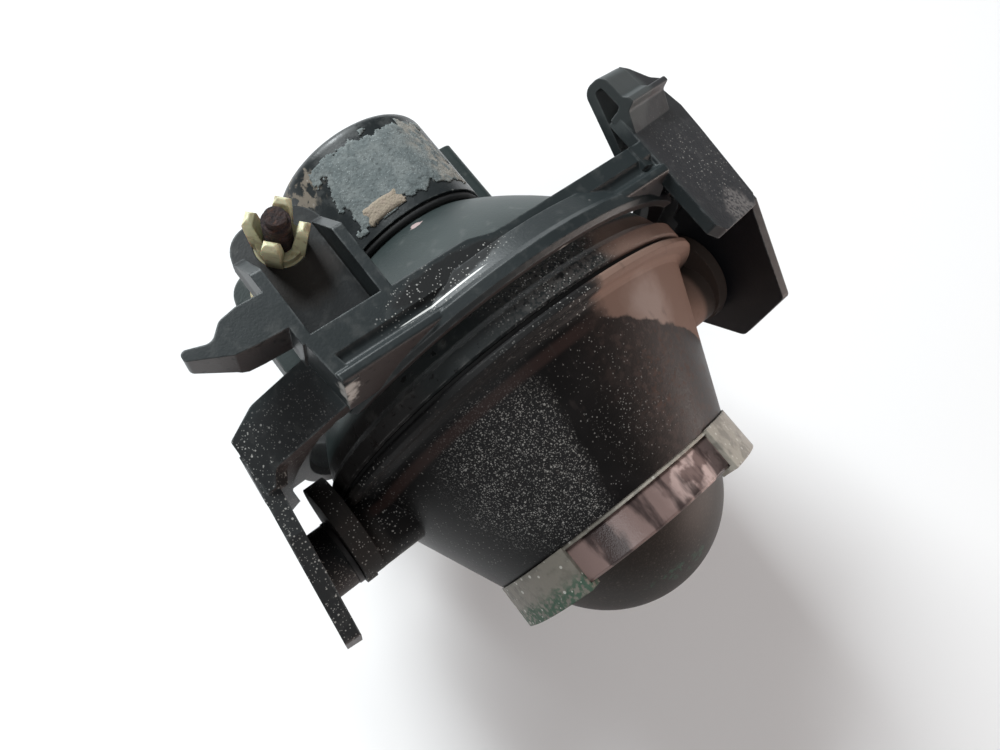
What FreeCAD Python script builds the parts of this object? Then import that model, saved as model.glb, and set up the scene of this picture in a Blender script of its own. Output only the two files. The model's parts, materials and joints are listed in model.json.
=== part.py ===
import FreeCAD, Part
import math
import os

from FreeCAD import Vector

# Projector fog light on its adjustable bumper bracket.
# Millimetres. +Z is up and the lens faces -Y. The origin is the point where the
# optical axis crosses the front plane of the bracket.

# ---------------------------------------------------------------- lamp stations along Y
LENS_SEAT_Y = -42.0          # plane that the lens flange sits against
CONE_LENGTH = 30.3           # nose to the front of the rim bead
RIM_THICK = 2.2              # axial width of the rim bead
SEAM_GAP = 1.0               # open joint between the bead and the rear housing band
BAND_LENGTH = 4.0            # axial width of the rear housing's band
BOWL_CENTRE_Y = -4.0         # widest station of the bowl
BOWL_DEPTH = 44.0            # widest station to the point where the bowl would close
BOWL_FULLNESS = 1.4          # 2 is an ellipse, 1 is a cone
NECK_LENGTH = 11.5           # neck beyond the bowl
CAP_LENGTH = 25.3            # open edge to closed end of the rear cap
CAP_STANDOFF = 1.52          # open edge of the cap behind the root of the neck

# ---------------------------------------------------------------- lamp radii and walls
LENS_RIM_R = 30.2
LENS_RIM_THICK = 7.7
LENS_DOME_R = 26.1
LENS_DOME_CENTRE = 2.8       # dome centre behind the lens seat
LENS_BACK_GAP = 0.8          # thickness of the retainer plate under the lens
LENS_FIT = 0.05              # clearance of the lens under the tabs
RETAINER_R = 31.4
TAB_ANGLES = (40.0, 160.0, 280.0)
TAB_HALF_WIDTH = 24.0        # degrees
TAB_HOOK = 2.9               # radial overlap of a tab on the lens flange
SPIGOT_R = 29.0
SPIGOT_BORE_R = 27.0
SPIGOT_LENGTH = 3.0
SEAL_THICK = 1.2
CONE_NOSE_R = 30.9
CONE_BACK_R = 44.5
CONE_WALL = 2.2
RIM_R = 49.0
BAND_R = 48.3
BOWL_R = 46.8
HOUSING_WALL = 2.2
NECK_R = 18.6
NECK_WALL = 2.2
CAP_WALL = 2.0
CAP_EDGE_ROUND = 2.6
CAP_RECESS_DEPTH = 3.0
CAP_GRIP_WIDTH = 5.0
RUNNING_GAP = 0.05           # radial clearance of pins and screws that turn
CAP_GAP = 0.15               # radial clearance of the cap on the neck

# ---------------------------------------------------------------- optics
LEDGE_Y = 16.5               # front of the inner ledge, behind the lens seat
LEDGE_THICK = 3.0
LEDGE_BORE_R = 31.5
SHIELD_THICK = 1.0
SHIELD_OPENING_R = 28.0
SHIELD_STEP = 2.5            # step in the cut-off edge
REFLECTOR_R = 30.0           # inner radius at the mouth
REFLECTOR_DEPTH = 47.0       # inner axial semi-axis
REFLECTOR_WALL = 1.5
REFLECTOR_BACK = 41.0        # mouth to the back plate
OPTIC_SCREW_R = 1.4
OPTIC_SCREW_CIRCLE = 33.8
BULB_R = 5.5
BULB_LENGTH = 26.0
BULB_BORE_R = 7.0
BULB_FLANGE_R = 9.5
BULB_FLANGE_THICK = 1.6
BULB_BODY_R = 6.4
BULB_BODY_LENGTH = 6.5
PLUG_LENGTH = 8.0

# ---------------------------------------------------------------- tilt pivots
PIVOT_Y = -16.2
PIVOT_Z = 5.0
PIN_R = 2.5
LAMP_BOSS_R = 7.4
LAMP_BOSS_END_X = {"left": 53.0, "right": 51.4}
EAR_START_X = 48.7           # rounded plate at the end of a lamp boss, outside the rim
EAR_R = 11.0
EAR_OFFSET = (3.5, 0.9)      # ear centre behind and above the pivot
COLLAR_THICK = 2.3
BUSH_FLANGE_R = 7.1
BUSH_FLANGE_THICK = 1.0
BUSH_GAP = 0.2               # axial gap between bush flange and lamp boss
BUSH_R = 4.2
BUSH_REACH = 1.2             # how far the bush goes into the arm
PIN_REACH = 1.0              # how far the pin goes into the arm
PIN_ROOT = 9.3               # length of pin inside the lamp boss
ARM_BOSS_R = 6.9

# ---------------------------------------------------------------- bracket
ARM_INNER_X = {"left": 58.5, "right": 52.8}    # lamp-side face of an arm at its pivot
ARM_THICK = {"left": 3.2, "right": 2.0}
ARM_SPLAY = {"left": 6.0, "right": 0.0}        # degrees of outward lean towards the front
ARM_BREAK_Y = -11.7          # where the top edge of an arm starts to fall
ARM_FRONT_Y = -32.0
ARM_FRONT_Z = {"left": 19.5, "right": 23.2}    # top of the front corner
ARM_CHIN_Z = 4.0             # bottom of the front corner
ARM_BOTTOM_Z = -15.0
ARM_REAR_Y = 8.3
OPENING_R = 50.0             # front edge of the round opening
THROAT_R = 47.3              # narrowest part of the opening
ARCH_R = 52.4                # outside of the band around the opening
ARCH_FRONT_Y = -1.5
ARCH_DEPTH = 8.0
SKIRT_END_Y = 15.0           # low side skirts behind the band
SKIRT_ANGLE = 32.0           # skirt centre below the horizontal, degrees
SKIRT_HALF_WIDTH = 39.0
BAR_DEPTH = 10.4
BAR_NARROW_DEPTH = 8.7       # bar depth right of the step in its rear edge
BAR_STEP_X = (-9.6, -3.7)
BAR_FRONT_LEAN = 1.4         # how far the foot of the front face leans forward
BAR_TOP_Z = 47.0
BAR_HEIGHT = 9.0
BAR_LEFT_X = -41.2
BAR_RIGHT_X = 33.0
LIP_WIDTH = 1.6
LIP_HEIGHT = 0.9
GROOVE_WIDTH = 2.2
GROOVE_DEPTH = 0.8
SIDE_WALL_THICK = 5.5
SIDE_WALL_BOTTOM_Z = -9.3
SIDE_RELIEF_R = 54.5         # shallow pocket that the ears of the lamp stand in
SIDE_RELIEF_DEPTH = 3.2
RIGHT_SLOPE = 24.5           # degrees, right shoulder plate
RIGHT_PLATE_THICK = 2.6
RIGHT_PLATE_LENGTH = 26.0    # along the slope
RIGHT_PLATE_FRONT_Y = -15.3
RIGHT_PLATE_REAR_Y = 15.6    # at the bar, the rear edge follows the ridge from there
LEFT_SLOPE = 30.0
LEFT_PLATE_THICK = 4.0
LEFT_PLATE_LENGTH = 21.0
LEFT_PLATE_REAR_Y = 11.0
LEFT_PLATE_CORNER_Y = 8.5

# spring clip at the rear of the right shoulder
CLIP_WIDTH = 9.8
CLIP_YAW = 11.0              # degrees that the clip turns away from the bar
CLIP_RISE = 3.6              # clip top above the shoulder plate
CLIP_REACH = 8.5             # front of the ridge to the bend
CLIP_LEG_SLOPE = 0.456       # fall of the lower leg towards the bar
RIDGE_RISE = 4.4
RIDGE_LENGTH = 19.4

# hook tongue at the left
HOOK_HEIGHT = 9.0
HOOK_TIP_HEIGHT = 6.0
HOOK_TIP_X = -58.6

# adjuster pocket and its parts
NUT_X = -33.9
NUT_Y = 30.0
POCKET_LEFT_X = -40.5
POCKET_RIGHT_X = -26.8
RIB_THICK = 2.1
FLOOR_TOP_Z = 40.0
FLOOR_THICK = 2.5
FLOOR_REAR_Y = 36.3
FLOOR_CORNER_R = 6.0
NUT_NECK_R = 4.6
NUT_COLLAR_R = 6.6
NUT_COLLAR_THICK = 1.8
NUT_CROWN_HEIGHT = 1.6       # closed ring below the fingers
NUT_FINGER_HEIGHT = 8.0
NUT_FINGER_WIDTH = 2.9
NUT_FINGER_ANGLE = 45.0
NUT_FINGER_FLARE = 0.9       # how far a fingertip leans outwards
SCREW_R = 2.5
THREAD_PITCH = 2.0
THREAD_DEPTH = 0.4
SCREW_TIP_Z = 49.6
SCREW_TIP_R = 1.9
SCREW_TIP_LENGTH = 1.5
LUG_TOP_Z = 19.5
LUG_THICK = 5.0
LUG_HALF_WIDTH = 9.6
LUG_HOLE_R = 5.7
LUG_FRONT_Y = 9.0
SLIDER_WAIST_R = 4.6
SLIDER_FLANGE_R = 7.2
SLIDER_FLANGE_THICK = 2.0
SLIDER_GAP = 0.5             # axial gap between a slider flange and the lug
SCREW_COLLAR_R = 4.6
SCREW_COLLAR_THICK = 1.5
SCREW_HEAD_R = 5.0
SCREW_HEAD_THICK = 4.0

# connector and breather on the rear housing
SOCKET_X = (19.8, 31.8)
SOCKET_Z = (-24.0, -8.0)
SOCKET_END_Y = 56.5
SOCKET_WALL = 1.5
SOCKET_DEPTH = 14.0
TERMINAL_SPACING = 8.0
WIRE_R = 0.9
WIRE_DEPTH = 4.37            # middle of a lead in front of the inside of the bowl
WIRE_X = 18.5
WIRE_DROP = 11.0
BREATHER_R = 3.0
BREATHER_Z = -29.0
BREATHER_LENGTH = 9.0


# ================================================================ worked-out places
def bowl_radius(y, wall):
    """Radius of the bowl at a station, with a wall taken off."""
    share = (y - BOWL_CENTRE_Y) / (BOWL_DEPTH - wall)
    return (BOWL_R - wall) * (1 - share ** BOWL_FULLNESS) ** (1 / BOWL_FULLNESS)


def bowl_station(radius, wall=0.0):
    """Station where the bowl has a radius, with a wall taken off."""
    share = radius / (BOWL_R - wall)
    return BOWL_CENTRE_Y + (BOWL_DEPTH - wall) * (1 - share ** BOWL_FULLNESS) ** (1 / BOWL_FULLNESS)


RIM_FRONT_Y = LENS_SEAT_Y + CONE_LENGTH + 0.9
RIM_BACK_Y = RIM_FRONT_Y + RIM_THICK
BAND_FRONT_Y = RIM_BACK_Y + SEAM_GAP
BAND_BACK_Y = BAND_FRONT_Y + BAND_LENGTH
CAP_OPEN_Y = bowl_station(NECK_R) + CAP_STANDOFF
CAP_END_Y = CAP_OPEN_Y + CAP_LENGTH
CAP_R = NECK_R + CAP_GAP + CAP_WALL
NECK_END_Y = CAP_OPEN_Y + NECK_LENGTH
SHIELD_Y = LENS_SEAT_Y + LEDGE_Y + LEDGE_THICK
MOUTH_Y = SHIELD_Y + SHIELD_THICK
BACK_PLATE_Y = MOUTH_Y + REFLECTOR_BACK
BULB_SEAT_Y = BACK_PLATE_Y + REFLECTOR_WALL
BULB_END_Y = BULB_SEAT_Y + BULB_FLANGE_THICK + BULB_BODY_LENGTH
LUG_BOTTOM_Z = LUG_TOP_Z - LUG_THICK
SLIDER_TOP_Z = LUG_TOP_Z + SLIDER_GAP + SLIDER_FLANGE_THICK
SLIDER_BOTTOM_Z = LUG_BOTTOM_Z - SLIDER_GAP - SLIDER_FLANGE_THICK
FLOOR_BOTTOM_Z = FLOOR_TOP_Z - FLOOR_THICK
SIDES = {"left": -1, "right": 1}


# ================================================================ drawing helpers
def solid(shape):
    """The same shape as one solid with outward faces."""
    shape = shape.removeSplitter()
    bodies = shape.Solids
    body = bodies[0] if len(bodies) == 1 else Part.makeCompound(bodies)
    if body.Volume < 0:
        body.reverse()
    return body


def joined(pieces):
    """All pieces fused into one shape."""
    first = pieces[0]
    return first.fuse(pieces[1:]) if len(pieces) > 1 else first


def arc(start, middle, end):
    """Circular edge through three points."""
    return Part.Arc(start, middle, end).toShape()


def rounded_wire(corners, place):
    """Closed wire through (a, b, radius) corners, each rounded by its radius."""
    count = len(corners)
    stretches = []
    for index in range(count):
        here = place(corners[index][0], corners[index][1])
        radius = corners[index][2]
        before = place(corners[index - 1][0], corners[index - 1][1])
        after = place(corners[(index + 1) % count][0], corners[(index + 1) % count][1])
        back = (before - here).normalize()
        onward = (after - here).normalize()
        if radius <= 0:
            stretches.append((here, None, here))
            continue
        half = back.getAngle(onward) / 2
        reach = radius / math.tan(half)
        middle_way = (back + onward).normalize()
        crown = here + middle_way * (radius / math.sin(half) - radius)
        stretches.append((here + back * reach, crown, here + onward * reach))
    edges = []
    for index in range(count):
        start, crown, end = stretches[index]
        if crown is not None:
            edges.append(arc(start, crown, end))
        following = stretches[(index + 1) % count][0]
        if end.distanceToPoint(following) > 1e-6:
            edges.append(Part.makeLine(end, following))
    return Part.Wire(edges)


def sharp(points):
    """Corners without rounding."""
    return [(a, b, 0) for a, b in points]


def prism(corners, axis, low, high):
    """Outline extruded from low to high along axis x, y or z."""
    places = {
        "x": lambda a, b: Vector(low, a, b),
        "y": lambda a, b: Vector(a, low, b),
        "z": lambda a, b: Vector(a, b, low),
    }
    ways = {"x": Vector(1, 0, 0), "y": Vector(0, 1, 0), "z": Vector(0, 0, 1)}
    face = Part.Face(rounded_wire(corners, places[axis]))
    return face.extrude(ways[axis] * (high - low))


def box(low, high):
    """Box between two corners."""
    size = [b - a for a, b in zip(low, high)]
    return Part.makeBox(size[0], size[1], size[2], Vector(*low))


def rod(radius, start, end):
    """Cylinder of one radius from start to end."""
    way = Vector(*end) - Vector(*start)
    return Part.makeCylinder(radius, way.Length, Vector(*start), way)


def turned(edges):
    """Solid of revolution about the Y axis from edges in the X-Y half plane."""
    face = Part.Face(Part.Wire(edges))
    return face.revolve(Vector(0, 0, 0), Vector(0, 1, 0), 360)


def turned_outline(points):
    """Solid of revolution about the Y axis from (radius, y) corners."""
    corners = [Vector(radius, y, 0) for radius, y in points]
    return turned(Part.makePolygon(corners + corners[:1]).Edges)


def sector(inner, outer, low_y, high_y, angle, half_width):
    """Part of a ring about the Y axis, centred on an angle measured from +X to +Z."""
    corners = [Vector(inner, low_y, 0), Vector(outer, low_y, 0)]
    corners += [Vector(outer, high_y, 0), Vector(inner, high_y, 0)]
    face = Part.Face(Part.makePolygon(corners + corners[:1]))
    ring = face.revolve(Vector(0, 0, 0), Vector(0, -1, 0), 2 * half_width)
    ring.rotate(Vector(0, 0, 0), Vector(0, -1, 0), angle - half_width)
    return ring


def ellipse_radius(radius, depth, distance):
    """Radius of an ellipse at a distance from its centre."""
    return radius * math.sqrt(max(0.0, 1 - (distance / depth) ** 2))


def smooth_edge(radius_at, from_y, to_y):
    """Smooth meridian between two stations of a radius law."""
    points = []
    for step in range(13):
        y = from_y + (to_y - from_y) * math.sin(math.pi / 2 * step / 12)
        points.append(Vector(radius_at(y), y, 0))
    curve = Part.BSplineCurve()
    curve.interpolate(points)
    return curve.toShape()


def mirror_edge(radius, depth, from_y, to_y):
    """Elliptical meridian of the reflector between two stations."""
    return smooth_edge(lambda y: ellipse_radius(radius, depth, y - MOUTH_Y), from_y, to_y)


def tube(points, radius):
    """Round bar along straight runs with ball corners."""
    pieces = []
    for start, end in zip(points, points[1:]):
        pieces.append(rod(radius, start, end))
    for corner in points[1:-1]:
        pieces.append(Part.makeSphere(radius, Vector(*corner)))
    return joined(pieces)


def cone_inner_r(station):
    """Inner radius of the cone at a station behind the lens seat."""
    grow = (CONE_BACK_R - CONE_NOSE_R) / CONE_LENGTH
    return CONE_NOSE_R + grow * station - CONE_WALL


# ================================================================ lamp front
def make_lens():
    """Thick plano-convex glass lens with a cylindrical flange."""
    flange_back = LENS_SEAT_Y - LENS_BACK_GAP
    flange_front = flange_back - LENS_RIM_THICK
    centre = LENS_SEAT_Y + LENS_DOME_CENTRE
    rise = centre - flange_front
    dome_r = math.sqrt(LENS_DOME_R ** 2 - rise ** 2)
    tip = Vector(0, centre - LENS_DOME_R, 0)
    half = math.asin(dome_r / LENS_DOME_R) / 2
    middle = Vector(LENS_DOME_R * math.sin(half), centre - LENS_DOME_R * math.cos(half), 0)
    foot = Vector(dome_r, flange_front, 0)
    edges = [arc(tip, middle, foot)]
    chamfer = 0.5
    corners = [foot]
    corners.append(Vector(LENS_RIM_R - chamfer, flange_front, 0))
    corners.append(Vector(LENS_RIM_R, flange_front + chamfer, 0))
    corners.append(Vector(LENS_RIM_R, flange_back - chamfer, 0))
    corners.append(Vector(LENS_RIM_R - chamfer, flange_back, 0))
    corners.append(Vector(0, flange_back, 0))
    corners.append(tip)
    for start, end in zip(corners, corners[1:]):
        edges.append(Part.makeLine(start, end))
    return turned(edges)


def make_lens_retainer():
    """Plastic ring under the lens with three tabs that hook over its flange."""
    plate_front = LENS_SEAT_Y - LENS_BACK_GAP
    flange_front = plate_front - LENS_RIM_THICK
    spigot_end = LENS_SEAT_Y + SPIGOT_LENGTH
    ring = turned_outline([
        (SPIGOT_BORE_R, plate_front),
        (RETAINER_R - 0.7, plate_front),
        (RETAINER_R - 0.7, LENS_SEAT_Y),
        (SPIGOT_R, LENS_SEAT_Y),
        (SPIGOT_R, spigot_end),
        (SPIGOT_BORE_R, spigot_end),
    ])
    pieces = [ring]
    for angle in TAB_ANGLES:
        inner = LENS_RIM_R + LENS_FIT
        pieces.append(sector(inner, RETAINER_R, flange_front - 1.1, LENS_SEAT_Y, angle, TAB_HALF_WIDTH))
        inner = RETAINER_R - 1.2 - TAB_HOOK
        hook_back = flange_front - LENS_FIT
        pieces.append(sector(inner, RETAINER_R, flange_front - 1.1, hook_back, angle, TAB_HALF_WIDTH))
    return joined(pieces)


def make_lens_seal():
    """Rubber ring between the retainer's spigot and the cone."""
    front = LENS_SEAT_Y + SPIGOT_LENGTH
    back = front + SEAL_THICK
    return turned_outline([
        (SPIGOT_BORE_R + 0.3, front),
        (SPIGOT_R, front),
        (SPIGOT_R, back),
        (SPIGOT_BORE_R + 0.3, back),
    ])


def make_cone_shroud():
    """Tapered front shell with the rim bead, the inner ledge and both pivot bosses."""
    seat = LENS_SEAT_Y
    shoulder = seat + SPIGOT_LENGTH + SEAL_THICK
    cone_back = seat + CONE_LENGTH
    ledge_front = seat + LEDGE_Y
    ledge_back = ledge_front + LEDGE_THICK
    shell = turned_outline([
        (SPIGOT_R, seat),
        (CONE_NOSE_R, seat),
        (CONE_BACK_R, cone_back),
        (CONE_BACK_R + 0.5, cone_back + 0.5),
        (CONE_BACK_R + 1.4, RIM_FRONT_Y),
        (RIM_R - 0.7, RIM_FRONT_Y),
        (RIM_R, RIM_FRONT_Y + 0.7),
        (RIM_R, RIM_BACK_Y - 0.5),
        (RIM_R - 0.5, RIM_BACK_Y),
        (BAND_R - HOUSING_WALL - 1.2, RIM_BACK_Y),
        (BAND_R - HOUSING_WALL - 1.2, RIM_BACK_Y - 1.2),
        (cone_inner_r(CONE_LENGTH), cone_back),
        (cone_inner_r(LEDGE_Y + LEDGE_THICK), ledge_back),
        (LEDGE_BORE_R, ledge_back),
        (LEDGE_BORE_R, ledge_front),
        (cone_inner_r(LEDGE_Y - 2.0), ledge_front - 2.0),
        (cone_inner_r(SPIGOT_LENGTH + SEAL_THICK + 2.0), shoulder + 2.0),
        (SPIGOT_BORE_R + 0.3, shoulder + 0.6),
        (SPIGOT_BORE_R + 0.3, shoulder),
        (SPIGOT_R, shoulder),
    ])
    core = turned_outline([
        (0, seat + 1.0),
        (cone_inner_r(1.0), seat + 1.0),
        (cone_inner_r(CONE_LENGTH), cone_back),
        (cone_inner_r(CONE_LENGTH), RIM_BACK_Y),
        (0, RIM_BACK_Y),
    ])
    bosses = []
    holes = []
    for name, side in SIDES.items():
        root = (side * 30.0, PIVOT_Y, PIVOT_Z)
        end = (side * LAMP_BOSS_END_X[name], PIVOT_Y, PIVOT_Z)
        collar = (side * (LAMP_BOSS_END_X[name] - COLLAR_THICK), PIVOT_Y, PIVOT_Z)
        bosses.append(rod(LAMP_BOSS_R, root, end))
        bosses.append(rod(LAMP_BOSS_R + 0.5, collar, end))
        bosses.append(pivot_ear(name))
        holes.append(rod(PIN_R, pin_root(name), end))
    outside = joined(bosses).cut(core)
    body = shell.fuse(outside)
    for angle in (90, 210, 330):
        holes.append(optic_screw_hole(angle, ledge_front, ledge_back))
    return body.cut(joined(holes))


def pivot_ear(name):
    """Rounded plate at the end of a lamp boss, reaching back towards the rim."""
    side = SIDES[name]
    y = PIVOT_Y + EAR_OFFSET[0]
    z = PIVOT_Z + EAR_OFFSET[1]
    return rod(EAR_R, (side * EAR_START_X, y, z), (side * LAMP_BOSS_END_X[name], y, z))


def make_seam_gasket():
    """Rubber ring in the joint between the bead and the rear housing band."""
    outer = RIM_R - 2.0
    inner = BAND_R - HOUSING_WALL - 1.2
    return turned_outline([
        (inner, RIM_BACK_Y),
        (outer, RIM_BACK_Y),
        (outer, BAND_FRONT_Y),
        (inner, BAND_FRONT_Y),
    ])


# ================================================================ lamp rear
def make_rear_housing():
    """Bowl with its rim band, neck, bayonet lugs, adjuster lug, socket and breather stub."""
    wall = HOUSING_WALL
    neck_inner = NECK_R - NECK_WALL
    start = BAND_BACK_Y + 0.6
    neck_y = bowl_station(NECK_R)
    inner_neck_y = bowl_station(neck_inner, wall)
    outside = smooth_edge(lambda y: bowl_radius(y, 0.0), start, neck_y)
    hollow = smooth_edge(lambda y: bowl_radius(y, wall), start, inner_neck_y)
    neck = [
        Vector(NECK_R, neck_y, 0),
        Vector(NECK_R, NECK_END_Y, 0),
        Vector(neck_inner, NECK_END_Y, 0),
        Vector(neck_inner, inner_neck_y, 0),
    ]
    rim = [
        Vector(bowl_radius(start, wall), start, 0),
        Vector(BAND_R - wall, BAND_FRONT_Y + 2.2, 0),
        Vector(BAND_R - wall - 1.2, BAND_FRONT_Y, 0),
        Vector(BAND_R - 0.4, BAND_FRONT_Y, 0),
        Vector(BAND_R, BAND_FRONT_Y + 0.4, 0),
        Vector(BAND_R, BAND_BACK_Y - 0.8, 0),
        Vector(BAND_R - 0.8, BAND_BACK_Y, 0),
        Vector(bowl_radius(start, 0.0), start, 0),
    ]
    edges = [outside, hollow]
    for begin, end in list(zip(neck, neck[1:])) + list(zip(rim, rim[1:])):
        edges.append(Part.makeLine(begin, end))
    shell = turned(Part.__sortEdges__(edges))
    inside = turned([
        hollow,
        Part.makeLine(Vector(neck_inner, inner_neck_y, 0), Vector(0, inner_neck_y, 0)),
        Part.makeLine(Vector(0, inner_neck_y, 0), Vector(0, start, 0)),
        Part.makeLine(Vector(0, start, 0), Vector(bowl_radius(start, wall), start, 0)),
    ])
    lugs = []
    for angle in (0, 180):
        lugs.append(sector(NECK_R - 0.5, NECK_R + 1.0, CAP_OPEN_Y + 5.0, CAP_OPEN_Y + 7.5, angle, 6))
    additions = [adjuster_lug(), socket_block(), breather_stub()]
    grown = joined(additions).cut(inside)
    body = joined([shell, grown] + lugs)
    cuts = [rod(LUG_HOLE_R, (NUT_X, NUT_Y, LUG_BOTTOM_Z - 1), (NUT_X, NUT_Y, LUG_TOP_Z + 1))]
    cuts.append(socket_cavity())
    cuts += terminal_solids()
    breather_y = bowl_station(abs(BREATHER_Z))
    cuts.append(rod(1.2, (0, breather_y - 8, BREATHER_Z), (0, breather_y + BREATHER_LENGTH + 1, BREATHER_Z)))
    return body.cut(joined(cuts))


def adjuster_lug():
    """Flat arm from the bowl to the adjusting screw."""
    rear = NUT_Y + LUG_HALF_WIDTH - 0.6
    outline = [
        (NUT_X - LUG_HALF_WIDTH, LUG_FRONT_Y, 3.0),
        (NUT_X + LUG_HALF_WIDTH, LUG_FRONT_Y, 0),
        (NUT_X + LUG_HALF_WIDTH, rear, 6.0),
        (NUT_X - LUG_HALF_WIDTH, rear, 6.0),
    ]
    plate = prism(outline, "z", LUG_BOTTOM_Z, LUG_TOP_Z)
    rib_x = NUT_X + LUG_HALF_WIDTH
    rib_z = LUG_BOTTOM_Z - 12.0
    root_y = bowl_station(math.hypot(rib_x, rib_z)) - 3.0
    rib_corners = [(root_y, rib_z), (root_y, LUG_BOTTOM_Z), (rear - 3.0, LUG_BOTTOM_Z)]
    rib = prism(sharp(rib_corners), "x", rib_x - 1.9, rib_x)
    return plate.fuse(rib)


def socket_block():
    """Outer block of the connector socket."""
    outline = [
        (SOCKET_X[0], SOCKET_Z[0], 2.5),
        (SOCKET_X[1], SOCKET_Z[0], 2.5),
        (SOCKET_X[1], SOCKET_Z[1], 2.5),
        (SOCKET_X[0], SOCKET_Z[1], 1.0),
    ]
    start = bowl_station(math.hypot(SOCKET_X[1], SOCKET_Z[0])) - 3.0
    return prism(outline, "y", start, SOCKET_END_Y)


def socket_cavity():
    """Space inside the connector socket."""
    outline = [
        (SOCKET_X[0] + SOCKET_WALL, SOCKET_Z[0] + SOCKET_WALL, 1.2),
        (SOCKET_X[1] - SOCKET_WALL, SOCKET_Z[0] + SOCKET_WALL, 1.2),
        (SOCKET_X[1] - SOCKET_WALL, SOCKET_Z[1] - SOCKET_WALL, 1.2),
        (SOCKET_X[0] + SOCKET_WALL, SOCKET_Z[1] - SOCKET_WALL, 0.4),
    ]
    return prism(outline, "y", SOCKET_END_Y - SOCKET_DEPTH, SOCKET_END_Y + 1.0)


def terminal_places():
    """Centres of the two terminals as (x, z)."""
    x = sum(SOCKET_X) / 2
    z = sum(SOCKET_Z) / 2
    return [(x, z - TERMINAL_SPACING / 2), (x, z + TERMINAL_SPACING / 2)]


def terminal_start_y(x, z):
    """Inner end of a blade, just inside the bowl's inner surface."""
    return bowl_station(math.hypot(x, z), HOUSING_WALL) - 3.5


def terminal_solids():
    """Two flat blades through the socket floor."""
    blades = []
    for x, z in terminal_places():
        low = (x - 1.4, terminal_start_y(x, z), z - 0.4)
        high = (x + 1.4, SOCKET_END_Y - 4.0, z + 0.4)
        blades.append(box(low, high))
    return blades


def make_terminals():
    """Both connector blades."""
    return Part.makeCompound(terminal_solids())


def breather_stub():
    """Short tube on the underside of the bowl."""
    start = bowl_station(abs(BREATHER_Z))
    return rod(BREATHER_R, (0, start - 8.0, BREATHER_Z), (0, start + BREATHER_LENGTH, BREATHER_Z))


def make_breather_cap():
    """Rubber cap over the breather stub with a vent hole in its side."""
    start = bowl_station(abs(BREATHER_Z)) + 4.0
    end = start + BREATHER_LENGTH
    outer = rod(BREATHER_R + 1.6, (0, start, BREATHER_Z), (0, end, BREATHER_Z))
    stub_end = bowl_station(abs(BREATHER_Z)) + BREATHER_LENGTH
    inner = rod(BREATHER_R, (0, start - 1, BREATHER_Z), (0, stub_end + 1.5, BREATHER_Z))
    vent = rod(0.9, (0, stub_end + 0.8, BREATHER_Z), (0, stub_end + 0.8, BREATHER_Z - 10))
    cap = outer.makeFillet(1.2, [edge_at(outer, end)])
    return cap.cut(inner.fuse(vent))


def edge_at(shape, y):
    """The circular edge of a shape that lies in the plane of one Y station."""
    for edge in shape.Edges:
        bounds = edge.BoundBox
        if abs(bounds.YMin - y) < 1e-4 and abs(bounds.YMax - y) < 1e-4:
            return edge
    raise ValueError("no edge at this station")


def make_cap_seal():
    """O-ring at the root of the neck, in front of the cap."""
    ring = Part.makeTorus(NECK_R + 0.85, 0.85, Vector(0, CAP_OPEN_Y - 0.85, 0), Vector(0, 1, 0))
    neck = rod(NECK_R, (0, CAP_OPEN_Y - 5, 0), (0, CAP_OPEN_Y + 5, 0))
    return ring.cut(neck)


def make_rear_cap():
    """Twist-off cap with bayonet slots and a sunk grip bar."""
    outer = rod(CAP_R, (0, CAP_OPEN_Y, 0), (0, CAP_END_Y, 0))
    outer = outer.makeFillet(CAP_EDGE_ROUND, [edge_at(outer, CAP_END_Y)])
    inner_r = NECK_R + CAP_GAP
    inner = rod(inner_r, (0, CAP_OPEN_Y - 1, 0), (0, CAP_END_Y - CAP_RECESS_DEPTH - CAP_WALL, 0))
    recess = rod(CAP_R - CAP_WALL - 2.2, (0, CAP_END_Y - CAP_RECESS_DEPTH, 0), (0, CAP_END_Y + 1, 0))
    half = CAP_GRIP_WIDTH / 2
    grip = box((-CAP_R, CAP_END_Y - CAP_RECESS_DEPTH, -half), (CAP_R, CAP_END_Y + 2, half))
    body = outer.cut(inner).cut(recess.cut(grip))
    track_r = NECK_R + 1.0 + CAP_GAP
    cuts = []
    for angle in (0, 180):
        cuts.append(sector(inner_r - 0.5, track_r, CAP_OPEN_Y + 4.7, CAP_OPEN_Y + 7.8, angle + 18, 25))
        cuts.append(sector(inner_r - 0.5, track_r, CAP_OPEN_Y - 1, CAP_OPEN_Y + 5.0, angle + 36, 7))
    return body.cut(joined(cuts))


# ================================================================ optics
def optic_screw_hole(angle, low, high):
    """Hole for one of the screws that hold the optics to the ledge."""
    x = OPTIC_SCREW_CIRCLE * math.cos(math.radians(angle))
    z = OPTIC_SCREW_CIRCLE * math.sin(math.radians(angle))
    return rod(OPTIC_SCREW_R, (x, low - 0.01, z), (x, high + 0.01, z))


def make_cutoff_shield():
    """Steel plate whose stepped edge shapes the top of the beam."""
    outer = cone_inner_r(LEDGE_Y + LEDGE_THICK) - 0.1
    disc = rod(outer, (0, SHIELD_Y, 0), (0, MOUTH_Y, 0))
    window = rod(SHIELD_OPENING_R, (0, SHIELD_Y - 1, 0), (0, MOUTH_Y + 1, 0))
    low_side = SHIELD_OPENING_R + 1
    closed = prism(sharp([
        (-low_side, -low_side),
        (low_side, -low_side),
        (low_side, -SHIELD_STEP),
        (SHIELD_STEP, -SHIELD_STEP),
        (0, 0),
        (-low_side, 0),
    ]), "y", SHIELD_Y - 2, MOUTH_Y + 2)
    plate = disc.cut(window.cut(closed))
    holes = [optic_screw_hole(angle, SHIELD_Y, MOUTH_Y) for angle in (90, 210, 330)]
    return plate.cut(joined(holes))


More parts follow.
